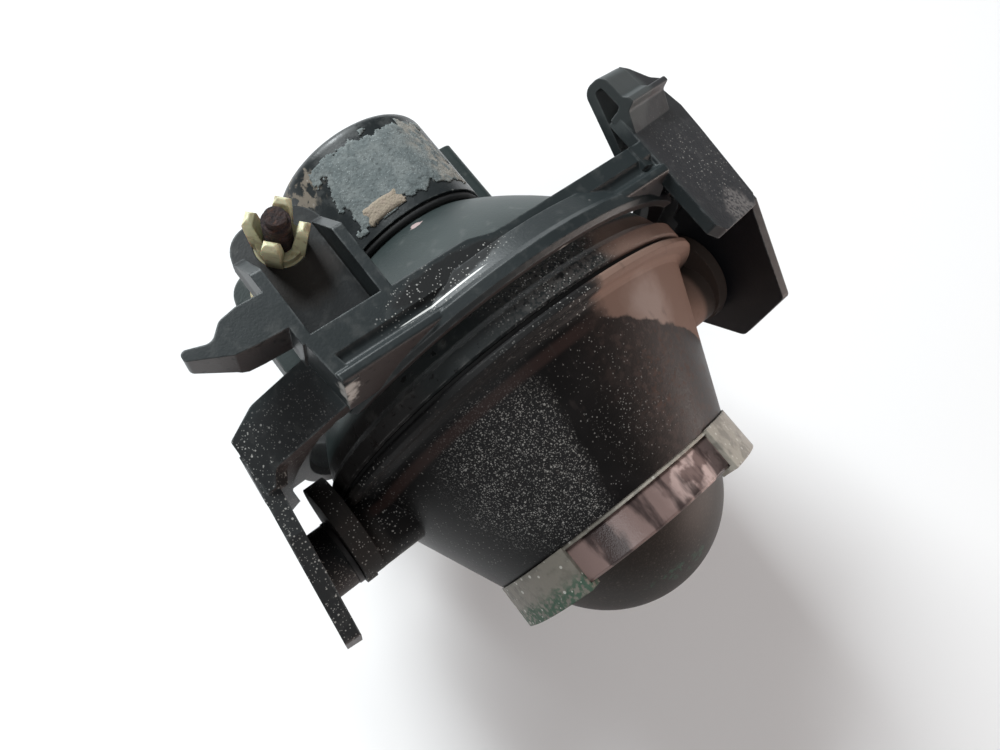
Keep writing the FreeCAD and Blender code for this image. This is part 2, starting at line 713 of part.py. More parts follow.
def make_reflector():
    """Ellipsoidal mirror with its mounting flange and a back plate for the bulb."""
    flange_r = cone_inner_r(LEDGE_Y + LEDGE_THICK) - 0.1
    flange_back = MOUTH_Y + REFLECTOR_WALL
    outer_r = REFLECTOR_R + REFLECTOR_WALL
    outer_depth = REFLECTOR_DEPTH + REFLECTOR_WALL
    inner_end = ellipse_radius(REFLECTOR_R, REFLECTOR_DEPTH, REFLECTOR_BACK)
    outer_end_y = BULB_SEAT_Y
    outer_end = ellipse_radius(outer_r, outer_depth, outer_end_y - MOUTH_Y)
    corners = [
        Vector(ellipse_radius(outer_r, outer_depth, REFLECTOR_WALL), flange_back, 0),
        Vector(flange_r, flange_back, 0),
        Vector(flange_r, MOUTH_Y, 0),
        Vector(REFLECTOR_R, MOUTH_Y, 0),
    ]
    back = [
        Vector(inner_end, BACK_PLATE_Y, 0),
        Vector(BULB_BORE_R, BACK_PLATE_Y, 0),
        Vector(BULB_BORE_R, BULB_SEAT_Y, 0),
        Vector(outer_end, outer_end_y, 0),
    ]
    edges = [mirror_edge(REFLECTOR_R, REFLECTOR_DEPTH, MOUTH_Y, BACK_PLATE_Y)]
    edges.append(mirror_edge(outer_r, outer_depth, flange_back, outer_end_y))
    for start, end in list(zip(corners, corners[1:])) + list(zip(back, back[1:])):
        edges.append(Part.makeLine(start, end))
    mirror = turned(Part.__sortEdges__(edges))
    posts = []
    for side in SIDES.values():
        posts.append(rod(1.5, (side * 11.3, BULB_SEAT_Y - 0.5, 0), (side * 11.3, BULB_SEAT_Y + 3.4, 0)))
    holes = [optic_screw_hole(angle, MOUTH_Y, flange_back) for angle in (90, 210, 330)]
    return mirror.fuse(posts).cut(joined(holes))


def make_optic_screws():
    """Three pan-head screws through reflector flange, shield and ledge."""
    screws = []
    head_y = MOUTH_Y + REFLECTOR_WALL
    for angle in (90, 210, 330):
        x = OPTIC_SCREW_CIRCLE * math.cos(math.radians(angle))
        z = OPTIC_SCREW_CIRCLE * math.sin(math.radians(angle))
        shank = rod(OPTIC_SCREW_R, (x, LENS_SEAT_Y + LEDGE_Y + 0.3, z), (x, head_y, z))
        head = rod(2.2, (x, head_y, z), (x, head_y + 1.6, z))
        slot = box((x - 3, head_y + 1.0, z - 0.3), (x + 3, head_y + 2, z + 0.3))
        screws.append(shank.fuse(head).cut(slot))
    return Part.makeCompound(screws)


def make_bulb_glass():
    """Quartz envelope of the halogen bulb, hollow and closed at the base."""
    base_y = BULB_SEAT_Y
    front = base_y - BULB_LENGTH
    outer = rod(BULB_R, (0, front + BULB_R, 0), (0, base_y, 0))
    outer = outer.fuse(Part.makeSphere(BULB_R, Vector(0, front + BULB_R, 0)))
    inner_r = BULB_R - 1.0
    inner = rod(inner_r, (0, front + BULB_R, 0), (0, base_y - 3.0, 0))
    inner = inner.fuse(Part.makeSphere(inner_r, Vector(0, front + BULB_R, 0)))
    return outer.cut(inner)


def make_bulb_filament():
    """Tungsten coil as a bar on two support legs that stand in the envelope."""
    coil_y = BULB_SEAT_Y - 18.0
    leg_end = BULB_SEAT_Y - 3.0
    coil = rod(0.75, (0, coil_y, 0), (0, coil_y + 5.5, 0))
    front_leg = tube([(0, coil_y + 0.3, 0), (2.4, coil_y + 0.3, 0), (2.4, leg_end, 0)], 0.3)
    rear_leg = tube([(0, coil_y + 5.2, 0), (-2.4, coil_y + 5.2, 0), (-2.4, leg_end, 0)], 0.3)
    return joined([coil, front_leg, rear_leg])


def make_bulb_base():
    """Metal bulb base with its seating flange and two contact blades."""
    flange_end = BULB_SEAT_Y + BULB_FLANGE_THICK
    flange = rod(BULB_FLANGE_R, (0, BULB_SEAT_Y, 0), (0, flange_end, 0))
    notch = box((-1.5, BULB_SEAT_Y - 1, BULB_FLANGE_R - 1.5), (1.5, flange_end + 1, BULB_FLANGE_R + 1))
    body = rod(BULB_BODY_R, (0, flange_end, 0), (0, BULB_END_Y, 0))
    blades = []
    for side in SIDES.values():
        low = (side * 2.6 - 0.4, BULB_END_Y - 0.5, -2.0)
        high = (side * 2.6 + 0.4, BULB_END_Y + PLUG_LENGTH - 2.0, 2.0)
        blades.append(box(low, high))
    return joined([flange.cut(notch), body] + blades)


def make_bulb_clip():
    """Wire bail that presses the bulb flange onto the reflector's back plate."""
    y = BULB_SEAT_Y + BULB_FLANGE_THICK + 0.6
    reach = BULB_BODY_R + 1.0
    post_x = 11.3
    path = [(post_x, y, -3.0), (post_x, y, -2.1), (reach, y, -2.1), (reach, y, reach)]
    path += [(-reach, y, reach), (-reach, y, -2.1), (-post_x, y, -2.1), (-post_x, y, -3.0)]
    return tube(path, 0.6)


def make_bulb_plug():
    """Push-on plug on the contact blades."""
    start = BULB_END_Y
    end = start + PLUG_LENGTH
    outline = [(-5.5, -4.0, 1.0), (5.5, -4.0, 1.0), (5.5, 4.0, 1.0), (-5.5, 4.0, 1.0)]
    block = prism(outline, "y", start, end)
    slots = []
    for side in SIDES.values():
        slots.append(box((side * 2.6 - 0.4, start - 1, -2.0), (side * 2.6 + 0.4, end - 2.0, 2.0)))
    return block.cut(joined(slots))


def make_bulb_wires():
    """Two insulated leads from the bulb plug to the connector blades."""
    wires = []
    plug_y = BULB_END_Y + 3.0
    middle_y = bowl_station(math.hypot(WIRE_X, WIRE_DROP), HOUSING_WALL) - WIRE_DEPTH
    for index, (x, z) in enumerate(terminal_places()):
        lane = -1.6 + 3.2 * index
        blade_y = terminal_start_y(x, z)
        path = [(5.5, plug_y, lane), (8.5, plug_y, lane), (13.0, plug_y - 4.0, lane - 5.0)]
        path += [(WIRE_X, middle_y, lane - WIRE_DROP), (x, blade_y - 4.0, z), (x, blade_y, z)]
        wires.append(tube(path, WIRE_R))
    return Part.makeCompound(wires)


# ================================================================ tilt pivots
def pin_root(name):
    """Inner end of a pivot pin."""
    return (SIDES[name] * (LAMP_BOSS_END_X[name] - PIN_ROOT), PIVOT_Y, PIVOT_Z)


def make_pivot_pin(name):
    """Steel pin fixed in the lamp boss and running in the bush of the arm."""
    end = (SIDES[name] * (ARM_INNER_X[name] + PIN_REACH), PIVOT_Y, PIVOT_Z)
    return rod(PIN_R, pin_root(name), end)


def bush_flange_x(name):
    """Lamp-side face of a bush flange, measured from the middle plane."""
    return LAMP_BOSS_END_X[name] + BUSH_GAP


def make_pivot_bush(name):
    """Flanged nylon bush in the boss of one arm."""
    side = SIDES[name]
    inner = bush_flange_x(name)
    flange_end = inner + BUSH_FLANGE_THICK
    sleeve_end = ARM_INNER_X[name] + BUSH_REACH
    flange = rod(BUSH_FLANGE_R, (side * inner, PIVOT_Y, PIVOT_Z), (side * flange_end, PIVOT_Y, PIVOT_Z))
    sleeve = rod(BUSH_R, (side * inner, PIVOT_Y, PIVOT_Z), (side * sleeve_end, PIVOT_Y, PIVOT_Z))
    hole_start = (side * (inner - 1), PIVOT_Y, PIVOT_Z)
    hole_end = (side * (sleeve_end + 1), PIVOT_Y, PIVOT_Z)
    return flange.fuse(sleeve).cut(rod(PIN_R + RUNNING_GAP, hole_start, hole_end))


# ================================================================ bracket
def opening_core():
    """Round space that the lamp stands in, narrowing towards the rear."""
    return turned_outline([
        (0, ARCH_FRONT_Y - 1.0),
        (OPENING_R, ARCH_FRONT_Y - 1.0),
        (OPENING_R, ARCH_FRONT_Y + 2.0),
        (OPENING_R - 0.5, ARCH_FRONT_Y + 3.5),
        (THROAT_R, ARCH_FRONT_Y + 6.0),
        (THROAT_R - 0.5, ARCH_FRONT_Y + ARCH_DEPTH + 0.5),
        (THROAT_R - 10.0, FLOOR_REAR_Y + 4.0),
        (0, FLOOR_REAR_Y + 4.0),
    ])


def arch_ring():
    """Thin band around the opening, stepped down towards the rear, with two low skirts."""
    front = ARCH_FRONT_Y
    rear = ARCH_FRONT_Y + ARCH_DEPTH
    band = turned_outline([
        (OPENING_R, front),
        (ARCH_R - 0.7, front),
        (ARCH_R, front + 0.9),
        (ARCH_R, front + 2.9),
        (ARCH_R - 1.0, front + 3.9),
        (THROAT_R + 1.9, rear),
        (THROAT_R - 0.5, rear),
        (THROAT_R - 0.5, front + 3.0),
        (OPENING_R, front + 3.0),
    ])
    pieces = [band]
    for angle in (180 + SKIRT_ANGLE, -SKIRT_ANGLE):
        skirt = sector(THROAT_R - 1.5, THROAT_R + 0.5, rear - 2.0, SKIRT_END_Y, angle, SKIRT_HALF_WIDTH)
        pieces.append(skirt)
    return joined(pieces)


def top_bar():
    """Bar across the top with a raised front lip and a groove behind it."""
    bottom = BAR_TOP_Z - BAR_HEIGHT
    lip_top = BAR_TOP_Z + LIP_HEIGHT
    lip_front = 0.4
    groove_start = lip_front + LIP_WIDTH + 0.6
    groove_end = groove_start + GROOVE_WIDTH
    outline = [
        (-BAR_FRONT_LEAN, bottom, 0),
        (lip_front, lip_top, 0.6),
        (lip_front + LIP_WIDTH, lip_top, 0.5),
        (groove_start + 0.4, BAR_TOP_Z - GROOVE_DEPTH, 0.8),
        (groove_end - 0.4, BAR_TOP_Z - GROOVE_DEPTH, 0.8),
        (groove_end + 0.6, BAR_TOP_Z, 0),
        (BAR_DEPTH, BAR_TOP_Z, 0.4),
        (BAR_DEPTH, bottom, 0),
    ]
    bar = prism(outline, "x", BAR_LEFT_X, BAR_RIGHT_X)
    step = prism(sharp([
        (BAR_STEP_X[0], BAR_DEPTH + 1.0),
        (BAR_STEP_X[0], BAR_DEPTH),
        (BAR_STEP_X[1], BAR_NARROW_DEPTH),
        (BAR_RIGHT_X + 1.0, BAR_NARROW_DEPTH),
        (BAR_RIGHT_X + 1.0, BAR_DEPTH + 1.0),
    ]), "z", bottom - 1.0, BAR_TOP_Z + 1.0)
    return bar.cut(step)


def adjuster_pocket():
    """Floor and two ribs that carry the snap-in nut."""
    left = POCKET_LEFT_X - RIB_THICK
    right = POCKET_RIGHT_X + RIB_THICK
    floor = prism([
        (left, BAR_DEPTH - 1.0, 0),
        (right, BAR_DEPTH - 1.0, 0),
        (right, FLOOR_REAR_Y, FLOOR_CORNER_R),
        (left, FLOOR_REAR_Y, FLOOR_CORNER_R),
    ], "z", FLOOR_BOTTOM_Z, FLOOR_TOP_Z)
    slope_start = 24.5
    slope_end = 31.0
    side_view = [
        (BAR_DEPTH - 1.0, FLOOR_BOTTOM_Z, 0),
        (slope_end, FLOOR_BOTTOM_Z, 0),
        (slope_end, FLOOR_TOP_Z, 0.5),
        (slope_start, BAR_TOP_Z, 1.0),
        (BAR_DEPTH - 1.0, BAR_TOP_Z, 0),
    ]
    ribs = [prism(side_view, "x", left, POCKET_LEFT_X)]
    ribs.append(prism(side_view, "x", POCKET_RIGHT_X, right))
    back_wall = box((left, BAR_DEPTH - 1.0, FLOOR_BOTTOM_Z), (right, BAR_DEPTH, BAR_TOP_Z))
    hole = rod(NUT_NECK_R, (NUT_X, NUT_Y, FLOOR_BOTTOM_Z - 1), (NUT_X, NUT_Y, FLOOR_TOP_Z + 1))
    return joined([floor, back_wall] + ribs).cut(hole)


def hook_tongue():
    """Cranked tongue at the left, level with the top of the bar."""
    root_x = POCKET_LEFT_X - RIB_THICK
    bottom = BAR_TOP_Z - HOOK_HEIGHT
    plan = [
        (root_x + 1.0, 13.2, 0),
        (root_x + 1.0, 20.8, 0),
        (-47.5, 20.9, 2.0),
        (-50.9, 20.2, 2.0),
        (-53.6, 17.6, 2.0),
        (HOOK_TIP_X, 19.2, 0.9),
        (HOOK_TIP_X, 17.2, 0.9),
        (-51.9, 13.9, 0.6),
        (-48.1, 13.5, 0),
    ]
    body = prism(plan, "z", bottom, BAR_TOP_Z)
    tip_cut = prism(sharp([
        (HOOK_TIP_X - 1.0, bottom - 1.0),
        (-49.5, bottom - 1.0),
        (-52.5, BAR_TOP_Z - HOOK_TIP_HEIGHT - 1.5),
        (HOOK_TIP_X - 1.0, BAR_TOP_Z - HOOK_TIP_HEIGHT + 1.0),
    ]), "y", 10.0, 24.0)
    return body.cut(tip_cut)


def left_end_web():
    """Side of the bar between the front corner and the hook tongue."""
    plan = [
        (BAR_LEFT_X, 0, 0),
        (BAR_LEFT_X + 3.0, 0, 0),
        (POCKET_LEFT_X, BAR_DEPTH, 0),
        (POCKET_LEFT_X, 14.0, 0),
        (POCKET_LEFT_X - RIB_THICK, 14.0, 0),
    ]
    return prism(plan, "z", BAR_TOP_Z - BAR_HEIGHT, BAR_TOP_Z)


def left_shoulder():
    """Sloping plate from the bar's left end down to the left arm."""
    plan = [
        (2.0, -0.4, 0),
        (2.0, LEFT_PLATE_REAR_Y, 0),
        (-14.0, LEFT_PLATE_REAR_Y, 4.0),
        (-LEFT_PLATE_LENGTH, LEFT_PLATE_CORNER_Y, 0.6),
        (-LEFT_PLATE_LENGTH, -3.0, 0),
        (-LEFT_PLATE_LENGTH + 2.0, -3.0, 0),
        (-LEFT_PLATE_LENGTH + 4.0, -0.4, 2.0),
    ]
    plate = prism(plan, "z", -LEFT_PLATE_THICK, 0)
    plate.rotate(Vector(0, 0, 0), Vector(0, 1, 0), -LEFT_SLOPE)
    plate.translate(Vector(BAR_LEFT_X, 0, BAR_TOP_Z - BAR_HEIGHT))
    return plate


def on_right_slope(piece):
    """Piece drawn flat, turned and moved onto the right shoulder."""
    piece.rotate(Vector(0, 0, 0), Vector(0, 1, 0), RIGHT_SLOPE)
    piece.translate(Vector(BAR_RIGHT_X, 0, BAR_TOP_Z))
    return piece


def right_slope_z(x):
    """Height of the right shoulder's top face."""
    return BAR_TOP_Z - (x - BAR_RIGHT_X) * math.tan(math.radians(RIGHT_SLOPE))


def left_slope_z(x):
    """Height of the left shoulder's top face."""
    return BAR_TOP_Z - BAR_HEIGHT - (BAR_LEFT_X - x) * math.tan(math.radians(LEFT_SLOPE))


def right_shoulder():
    """Sloping plate from the bar's right end down to the right arm."""
    length = RIGHT_PLATE_LENGTH
    front = RIGHT_PLATE_FRONT_Y
    rear = RIGHT_PLATE_REAR_Y
    skew = math.tan(math.radians(CLIP_YAW))
    plan = [
        (0, front + 2.0, 0.8),
        (2.4, front, 1.4),
        (length - 6.6, front + 2.0, 1.2),
        (length - 3.6, front + 4.6, 0.8),
        (length - 0.7, front + 23.3, 0),
        (length, rear - 1.0, 1.0),
        (length - 1.8, rear + skew * (length - 1.8), 0),
        (0, rear, 0),
    ]
    return on_right_slope(prism(plan, "z", -RIGHT_PLATE_THICK, 0))


def clip_profile():
    """Side view of the hairpin as (distance behind the ridge, height, radius) corners."""
    foot = -9.0
    wall = 1.9
    bend_low = -0.9
    leg_foot = bend_low - CLIP_LEG_SLOPE * (CLIP_REACH - foot)
    return [
        (-4.4, -1.5, 0),
        (-4.2, 0.0, 0),
        (-0.4, 2.4, 1.0),
        (0.0, RIDGE_RISE, 0.4),
        (1.3, RIDGE_RISE, 0.4),
        (2.2, CLIP_RISE, 0.8),
        (CLIP_REACH - 0.3, CLIP_RISE + 0.3, 2.1),
        (CLIP_REACH + 0.5, bend_low, 2.6),
        (foot, leg_foot, 0),
        (foot, leg_foot + wall, 0),
        (CLIP_REACH - 1.4, bend_low + 1.3, 0.9),
        (CLIP_REACH - 1.9, CLIP_RISE - 1.6, 0.6),
        (1.6, CLIP_RISE - 1.9, 0.5),
        (0.6, -1.5, 0),
    ]


def spring_clip():
    """Hairpin behind the right shoulder that grips the rail of the bumper."""
    hairpin = prism(clip_profile(), "x", 0, CLIP_WIDTH)
    ridge = prism(clip_profile()[:5] + [(1.3, -1.5, 0)], "x", 0, RIDGE_LENGTH)
    flare = prism([
        (CLIP_WIDTH - 0.5, 0.5, 0),
        (RIDGE_LENGTH, 0.5, 0),
        (RIDGE_LENGTH, 1.4, 0),
        (CLIP_WIDTH + 6.0, 2.8, 3.0),
        (CLIP_WIDTH + 2.0, 6.6, 2.0),
        (CLIP_WIDTH - 0.5, CLIP_REACH - 0.6, 0),
    ], "z", CLIP_RISE - 1.8, CLIP_RISE)
    grip = joined([hairpin, ridge, flare])
    grip.rotate(Vector(0, 0, 0), Vector(0, 0, 1), CLIP_YAW)
    grip.translate(Vector(0, RIGHT_PLATE_REAR_Y - 1.0, 0))
    root = box((-3.0, 3.6, 2.0 - BAR_HEIGHT), (CLIP_WIDTH - 2.0, BAR_NARROW_DEPTH, -1.0))
    return on_right_slope(grip.fuse(root))


def arm_outline(top_z, front_top_z):
    """Side view of an arm as (y, z, radius) corners."""
    return [
        (ARM_REAR_Y, top_z, 0),
        (ARM_BREAK_Y, top_z, 0),
        (ARM_FRONT_Y + 0.4, front_top_z, 1.5),
        (ARM_FRONT_Y - 0.3, ARM_CHIN_Z, 3.0),
        (ARM_FRONT_Y + 11.5, ARM_CHIN_Z - 12.0, 6.0),
        (0.0, ARM_BOTTOM_Z, 3.0),
        (SIDE_WALL_THICK, ARM_BOTTOM_Z, 0),
        (ARM_REAR_Y, 6.0, 2.0),
    ]


def arm(name, top_z):
    """Plate beside the lamp that carries one pivot."""
    side = SIDES[name]
    inner = side * ARM_INNER_X[name]
    outer = side * (ARM_INNER_X[name] + ARM_THICK[name])
    outline = arm_outline(top_z, ARM_FRONT_Z[name])
    plate = prism(outline, "x", min(inner, outer), max(inner, outer))
    plate.rotate(Vector(inner, PIVOT_Y, 0), Vector(0, 0, 1), side * ARM_SPLAY[name])
    return plate


def arm_boss(name):
    """Round boss on the inside of an arm."""
    side = SIDES[name]
    start = (side * (bush_flange_x(name) + BUSH_FLANGE_THICK), PIVOT_Y, PIVOT_Z)
    end = (side * (ARM_INNER_X[name] + ARM_THICK[name] * 0.6), PIVOT_Y, PIVOT_Z)
    return rod(ARM_BOSS_R, start, end)


def side_wall(name, top_z):
    """Front wall between the opening and one arm."""
    side = SIDES[name]
    outer = ARM_INNER_X[name] + 1.2
    bottom = SIDE_WALL_BOTTOM_Z
    plan = [
        (side * outer, top_z, 0),
        (side * outer, ARM_BOTTOM_Z, 0),
        (side * (outer - 3.0), ARM_BOTTOM_Z + 0.8, 1.0),
        (side * (outer - 6.2), bottom, 2.0),
        (side * (OPENING_R - 6.0), bottom + 1.0, 0),
        (side * (OPENING_R - 12.0), top_z - 8.0, 0),
        (side * (OPENING_R - 9.0), top_z + 6.0, 0),
    ]
    return prism(plan, "y", 0, SIDE_WALL_THICK)


def side_relief(side):
    """Shallow pocket beside the lamp where an ear of the lamp stands."""
    disc = rod(SIDE_RELIEF_R, (0, ARCH_FRONT_Y - 0.5, 0), (0, SIDE_RELIEF_DEPTH, 0))
    near = side * (OPENING_R - 14.0)
    far = side * (SIDE_RELIEF_R + 4.0)
    low = (min(near, far), ARCH_FRONT_Y - 1.0, -28.0)
    window = box(low, (max(near, far), SIDE_RELIEF_DEPTH + 1.0, 33.0))
    return disc.common(window)


def make_bracket():
    """Bracket of the lamp in one moulding."""
    left_top = left_slope_z(-ARM_INNER_X["left"] - 1.2)
    right_top = right_slope_z(ARM_INNER_X["right"] + ARM_THICK["right"])
    pieces = [arch_ring(), top_bar(), adjuster_pocket(), hook_tongue(), left_end_web()]
    pieces += [left_shoulder(), right_shoulder(), spring_clip()]
    pieces += [side_wall("left", left_top - 0.4), side_wall("right", right_top - 1.0)]
    pieces += [arm("left", left_top), arm("right", right_top - 1.2)]
    pieces += [arm_boss("left"), arm_boss("right")]
    body = joined(pieces).cut(joined([opening_core(), side_relief(-1), side_relief(1)]))
    holes = []
    for name, side in SIDES.items():
        start = (side * bush_flange_x(name), PIVOT_Y, PIVOT_Z)
        end = (side * (ARM_INNER_X[name] + BUSH_REACH), PIVOT_Y, PIVOT_Z)
        holes.append(rod(BUSH_R, start, end))
    return body.cut(joined(holes))


# ================================================================ adjuster
def nut_finger(angle):
    """Springy finger with a round tip that leans away from the screw."""
    root = SCREW_R + RUNNING_GAP
    tip_z = FLOOR_TOP_Z + NUT_FINGER_HEIGHT
    flare = NUT_FINGER_FLARE
    side_view = [
        (root, FLOOR_TOP_Z, 0),
        (NUT_NECK_R, FLOOR_TOP_Z, 0),
        (NUT_NECK_R + 0.4, FLOOR_TOP_Z + 3.0, 1.5),
        (NUT_NECK_R + flare, tip_z - 1.0, 0.8),
        (NUT_NECK_R + flare - 0.9, tip_z, 0.4),
        (root + flare + 0.2, tip_z - 0.6, 0.4),
        (root, FLOOR_TOP_Z + NUT_CROWN_HEIGHT + 1.0, 0),
    ]
    half = NUT_FINGER_WIDTH / 2
    front_view = [
        (-half, FLOOR_TOP_Z - 0.1, 0),
        (half, FLOOR_TOP_Z - 0.1, 0),
        (half, tip_z, half * 0.98),
        (-half, tip_z, half * 0.98),
    ]
    finger = prism(side_view, "y", -half, half).common(prism(front_view, "x", 0, NUT_NECK_R + 4))
    finger.rotate(Vector(0, 0, 0), Vector(0, 0, 1), angle)
    finger.translate(Vector(NUT_X, NUT_Y, 0))
    return finger


def make_adjuster_nut():
    """Nylon nut with a collar under the floor and four fingers above it."""
    collar_z = FLOOR_BOTTOM_Z - NUT_COLLAR_THICK
    crown_z = FLOOR_TOP_Z + NUT_CROWN_HEIGHT
    tip_z = FLOOR_TOP_Z + NUT_FINGER_HEIGHT
    collar = rod(NUT_COLLAR_R, (NUT_X, NUT_Y, collar_z), (NUT_X, NUT_Y, FLOOR_BOTTOM_Z))
    neck = rod(NUT_NECK_R, (NUT_X, NUT_Y, FLOOR_BOTTOM_Z), (NUT_X, NUT_Y, FLOOR_TOP_Z))
    crown = rod(NUT_NECK_R - 0.4, (NUT_X, NUT_Y, FLOOR_TOP_Z), (NUT_X, NUT_Y, crown_z))
    fingers = [nut_finger(NUT_FINGER_ANGLE + 90 * step) for step in range(4)]
    bore = rod(SCREW_R + RUNNING_GAP, (NUT_X, NUT_Y, collar_z - 1), (NUT_X, NUT_Y, tip_z + 1))
    return joined([collar, neck, crown] + fingers).cut(bore)


def make_adjuster_slider():
    """Nylon spool that the lamp's lug rides in."""
    waist = rod(SLIDER_WAIST_R, (NUT_X, NUT_Y, SLIDER_BOTTOM_Z), (NUT_X, NUT_Y, SLIDER_TOP_Z))
    lower = rod(SLIDER_FLANGE_R, (NUT_X, NUT_Y, SLIDER_BOTTOM_Z),
                (NUT_X, NUT_Y, SLIDER_BOTTOM_Z + SLIDER_FLANGE_THICK))
    upper = rod(SLIDER_FLANGE_R, (NUT_X, NUT_Y, SLIDER_TOP_Z - SLIDER_FLANGE_THICK),
                (NUT_X, NUT_Y, SLIDER_TOP_Z))
    bore = rod(SCREW_R + RUNNING_GAP, (NUT_X, NUT_Y, SLIDER_BOTTOM_Z - 1), (NUT_X, NUT_Y, SLIDER_TOP_Z + 1))
    return joined([waist, lower, upper]).cut(bore)


def make_adjuster_screw():
    """Aim screw with a hexagon head, a collar above the slider and a coarse thread."""
    head_top = SLIDER_BOTTOM_Z - RUNNING_GAP
    head_bottom = head_top - SCREW_HEAD_THICK
    shank_end = SCREW_TIP_Z - SCREW_TIP_LENGTH
    shank = rod(SCREW_R, (NUT_X, NUT_Y, head_top - 0.5), (NUT_X, NUT_Y, shank_end))
    tip = rod(SCREW_TIP_R, (NUT_X, NUT_Y, shank_end - 0.5), (NUT_X, NUT_Y, SCREW_TIP_Z))
    corners = []
    for step in range(6):
        angle = math.radians(60 * step)
        corners.append((NUT_X + SCREW_HEAD_R * math.cos(angle), NUT_Y + SCREW_HEAD_R * math.sin(angle), 0))
    head = prism(corners, "z", head_bottom, head_top)
    collar_z = SLIDER_TOP_Z + RUNNING_GAP
    collar = rod(SCREW_COLLAR_R, (NUT_X, NUT_Y, collar_z), (NUT_X, NUT_Y, collar_z + SCREW_COLLAR_THICK))
    body = joined([shank, tip, head, collar])
    cuts = []
    for turn in (0, 90):
        arm_cut = box((-2.6, -0.5, head_bottom - 1), (2.6, 0.5, head_bottom + 2.0))
        arm_cut.rotate(Vector(0, 0, 0), Vector(0, 0, 1), turn)
        arm_cut.translate(Vector(NUT_X, NUT_Y, 0))
        cuts.append(arm_cut)
    thread_start = collar_z + SCREW_COLLAR_THICK + 1.5
    rings = int((shank_end - thread_start) / THREAD_PITCH)
    for index in range(rings):
        z = thread_start + THREAD_PITCH * (index + 0.5)
        cuts.append(thread_groove(z))
    return body.cut(joined(cuts))


def thread_groove(z):
    """V-shaped ring cut that stands for one turn of thread."""
    half = THREAD_PITCH * 0.3
    corners = [Vector(SCREW_R + 0.01, 0, z - half), Vector(SCREW_R - THREAD_DEPTH, 0, z)]
    corners += [Vector(SCREW_R + 0.01, 0, z + half), Vector(SCREW_R + 0.6, 0, z)]
    face = Part.Face(Part.makePolygon(corners + corners[:1]))
    ring = face.revolve(Vector(0, 0, 0), Vector(0, 0, 1), 360)
    ring.translate(Vector(NUT_X, NUT_Y, 0))
    return ring


# ================================================================ all pieces
def make_parts():
    """Every node by name."""
    parts = {
        "bracket": make_bracket(),
        "adjuster_nut": make_adjuster_nut(),
        "adjuster_slider": make_adjuster_slider(),
        "adjuster_screw": make_adjuster_screw(),
        "cone_shroud": make_cone_shroud(),
        "lens": make_lens(),
        "lens_retainer": make_lens_retainer(),
        "lens_seal": make_lens_seal(),
        "seam_gasket": make_seam_gasket(),
        "rear_housing": make_rear_housing(),
        "breather_cap": make_breather_cap(),
        "rear_cap": make_rear_cap(),
        "cap_seal": make_cap_seal(),
        "cutoff_shield": make_cutoff_shield(),
        "reflector": make_reflector(),
        "optic_screws": make_optic_screws(),
        "bulb_glass": make_bulb_glass(),
        "bulb_filament": make_bulb_filament(),
        "bulb_base": make_bulb_base(),
        "bulb_clip": make_bulb_clip(),
        "bulb_plug": make_bulb_plug(),
        "bulb_wires": make_bulb_wires(),
        "connector_terminals": make_terminals(),
    }
    for name in SIDES:
        parts["pivot_pin_" + name] = make_pivot_pin(name)
        parts["pivot_bush_" + name] = make_pivot_bush(name)
    return parts


os.makedirs("parts", exist_ok=True)
for node, shape in make_parts().items():
    solid(shape).exportStep("parts/" + node + ".step")
    print("wrote", node)
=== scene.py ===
import json
import math

import bpy
from mathutils import Matrix, Vector, noise


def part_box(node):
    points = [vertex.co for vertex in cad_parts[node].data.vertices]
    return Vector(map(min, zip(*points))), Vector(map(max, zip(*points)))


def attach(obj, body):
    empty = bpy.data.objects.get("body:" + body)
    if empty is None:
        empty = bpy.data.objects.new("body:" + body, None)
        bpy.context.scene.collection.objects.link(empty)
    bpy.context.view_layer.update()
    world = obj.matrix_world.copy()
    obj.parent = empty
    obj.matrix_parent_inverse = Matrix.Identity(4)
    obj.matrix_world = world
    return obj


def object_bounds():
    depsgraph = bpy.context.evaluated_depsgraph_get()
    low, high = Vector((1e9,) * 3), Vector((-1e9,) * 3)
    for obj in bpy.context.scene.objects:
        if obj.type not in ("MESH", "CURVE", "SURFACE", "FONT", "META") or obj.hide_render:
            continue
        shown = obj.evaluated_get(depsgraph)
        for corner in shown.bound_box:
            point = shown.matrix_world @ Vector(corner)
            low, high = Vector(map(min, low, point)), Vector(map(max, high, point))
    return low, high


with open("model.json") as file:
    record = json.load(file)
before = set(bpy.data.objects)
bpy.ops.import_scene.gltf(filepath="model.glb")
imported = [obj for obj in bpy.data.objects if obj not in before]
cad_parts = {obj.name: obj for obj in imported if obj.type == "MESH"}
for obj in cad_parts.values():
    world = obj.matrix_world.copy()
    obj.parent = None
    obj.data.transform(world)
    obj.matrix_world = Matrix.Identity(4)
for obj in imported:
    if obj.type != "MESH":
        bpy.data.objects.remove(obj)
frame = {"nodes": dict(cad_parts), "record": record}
cad_low, cad_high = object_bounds()

MM = 0.001

# ---------------------------------------------------------------- camera, in metres
CAMERA_PLACE = Vector((-0.063175, -0.033678, 0.163380))
CAMERA_RIGHT = Vector((0.76565, -0.61878, 0.17577))
CAMERA_UP = Vector((0.54265, 0.76805, 0.34005))
CAMERA_LENS = 27.56
SENSOR_WIDTH = 36.0
NEAR_CLIP = 0.005

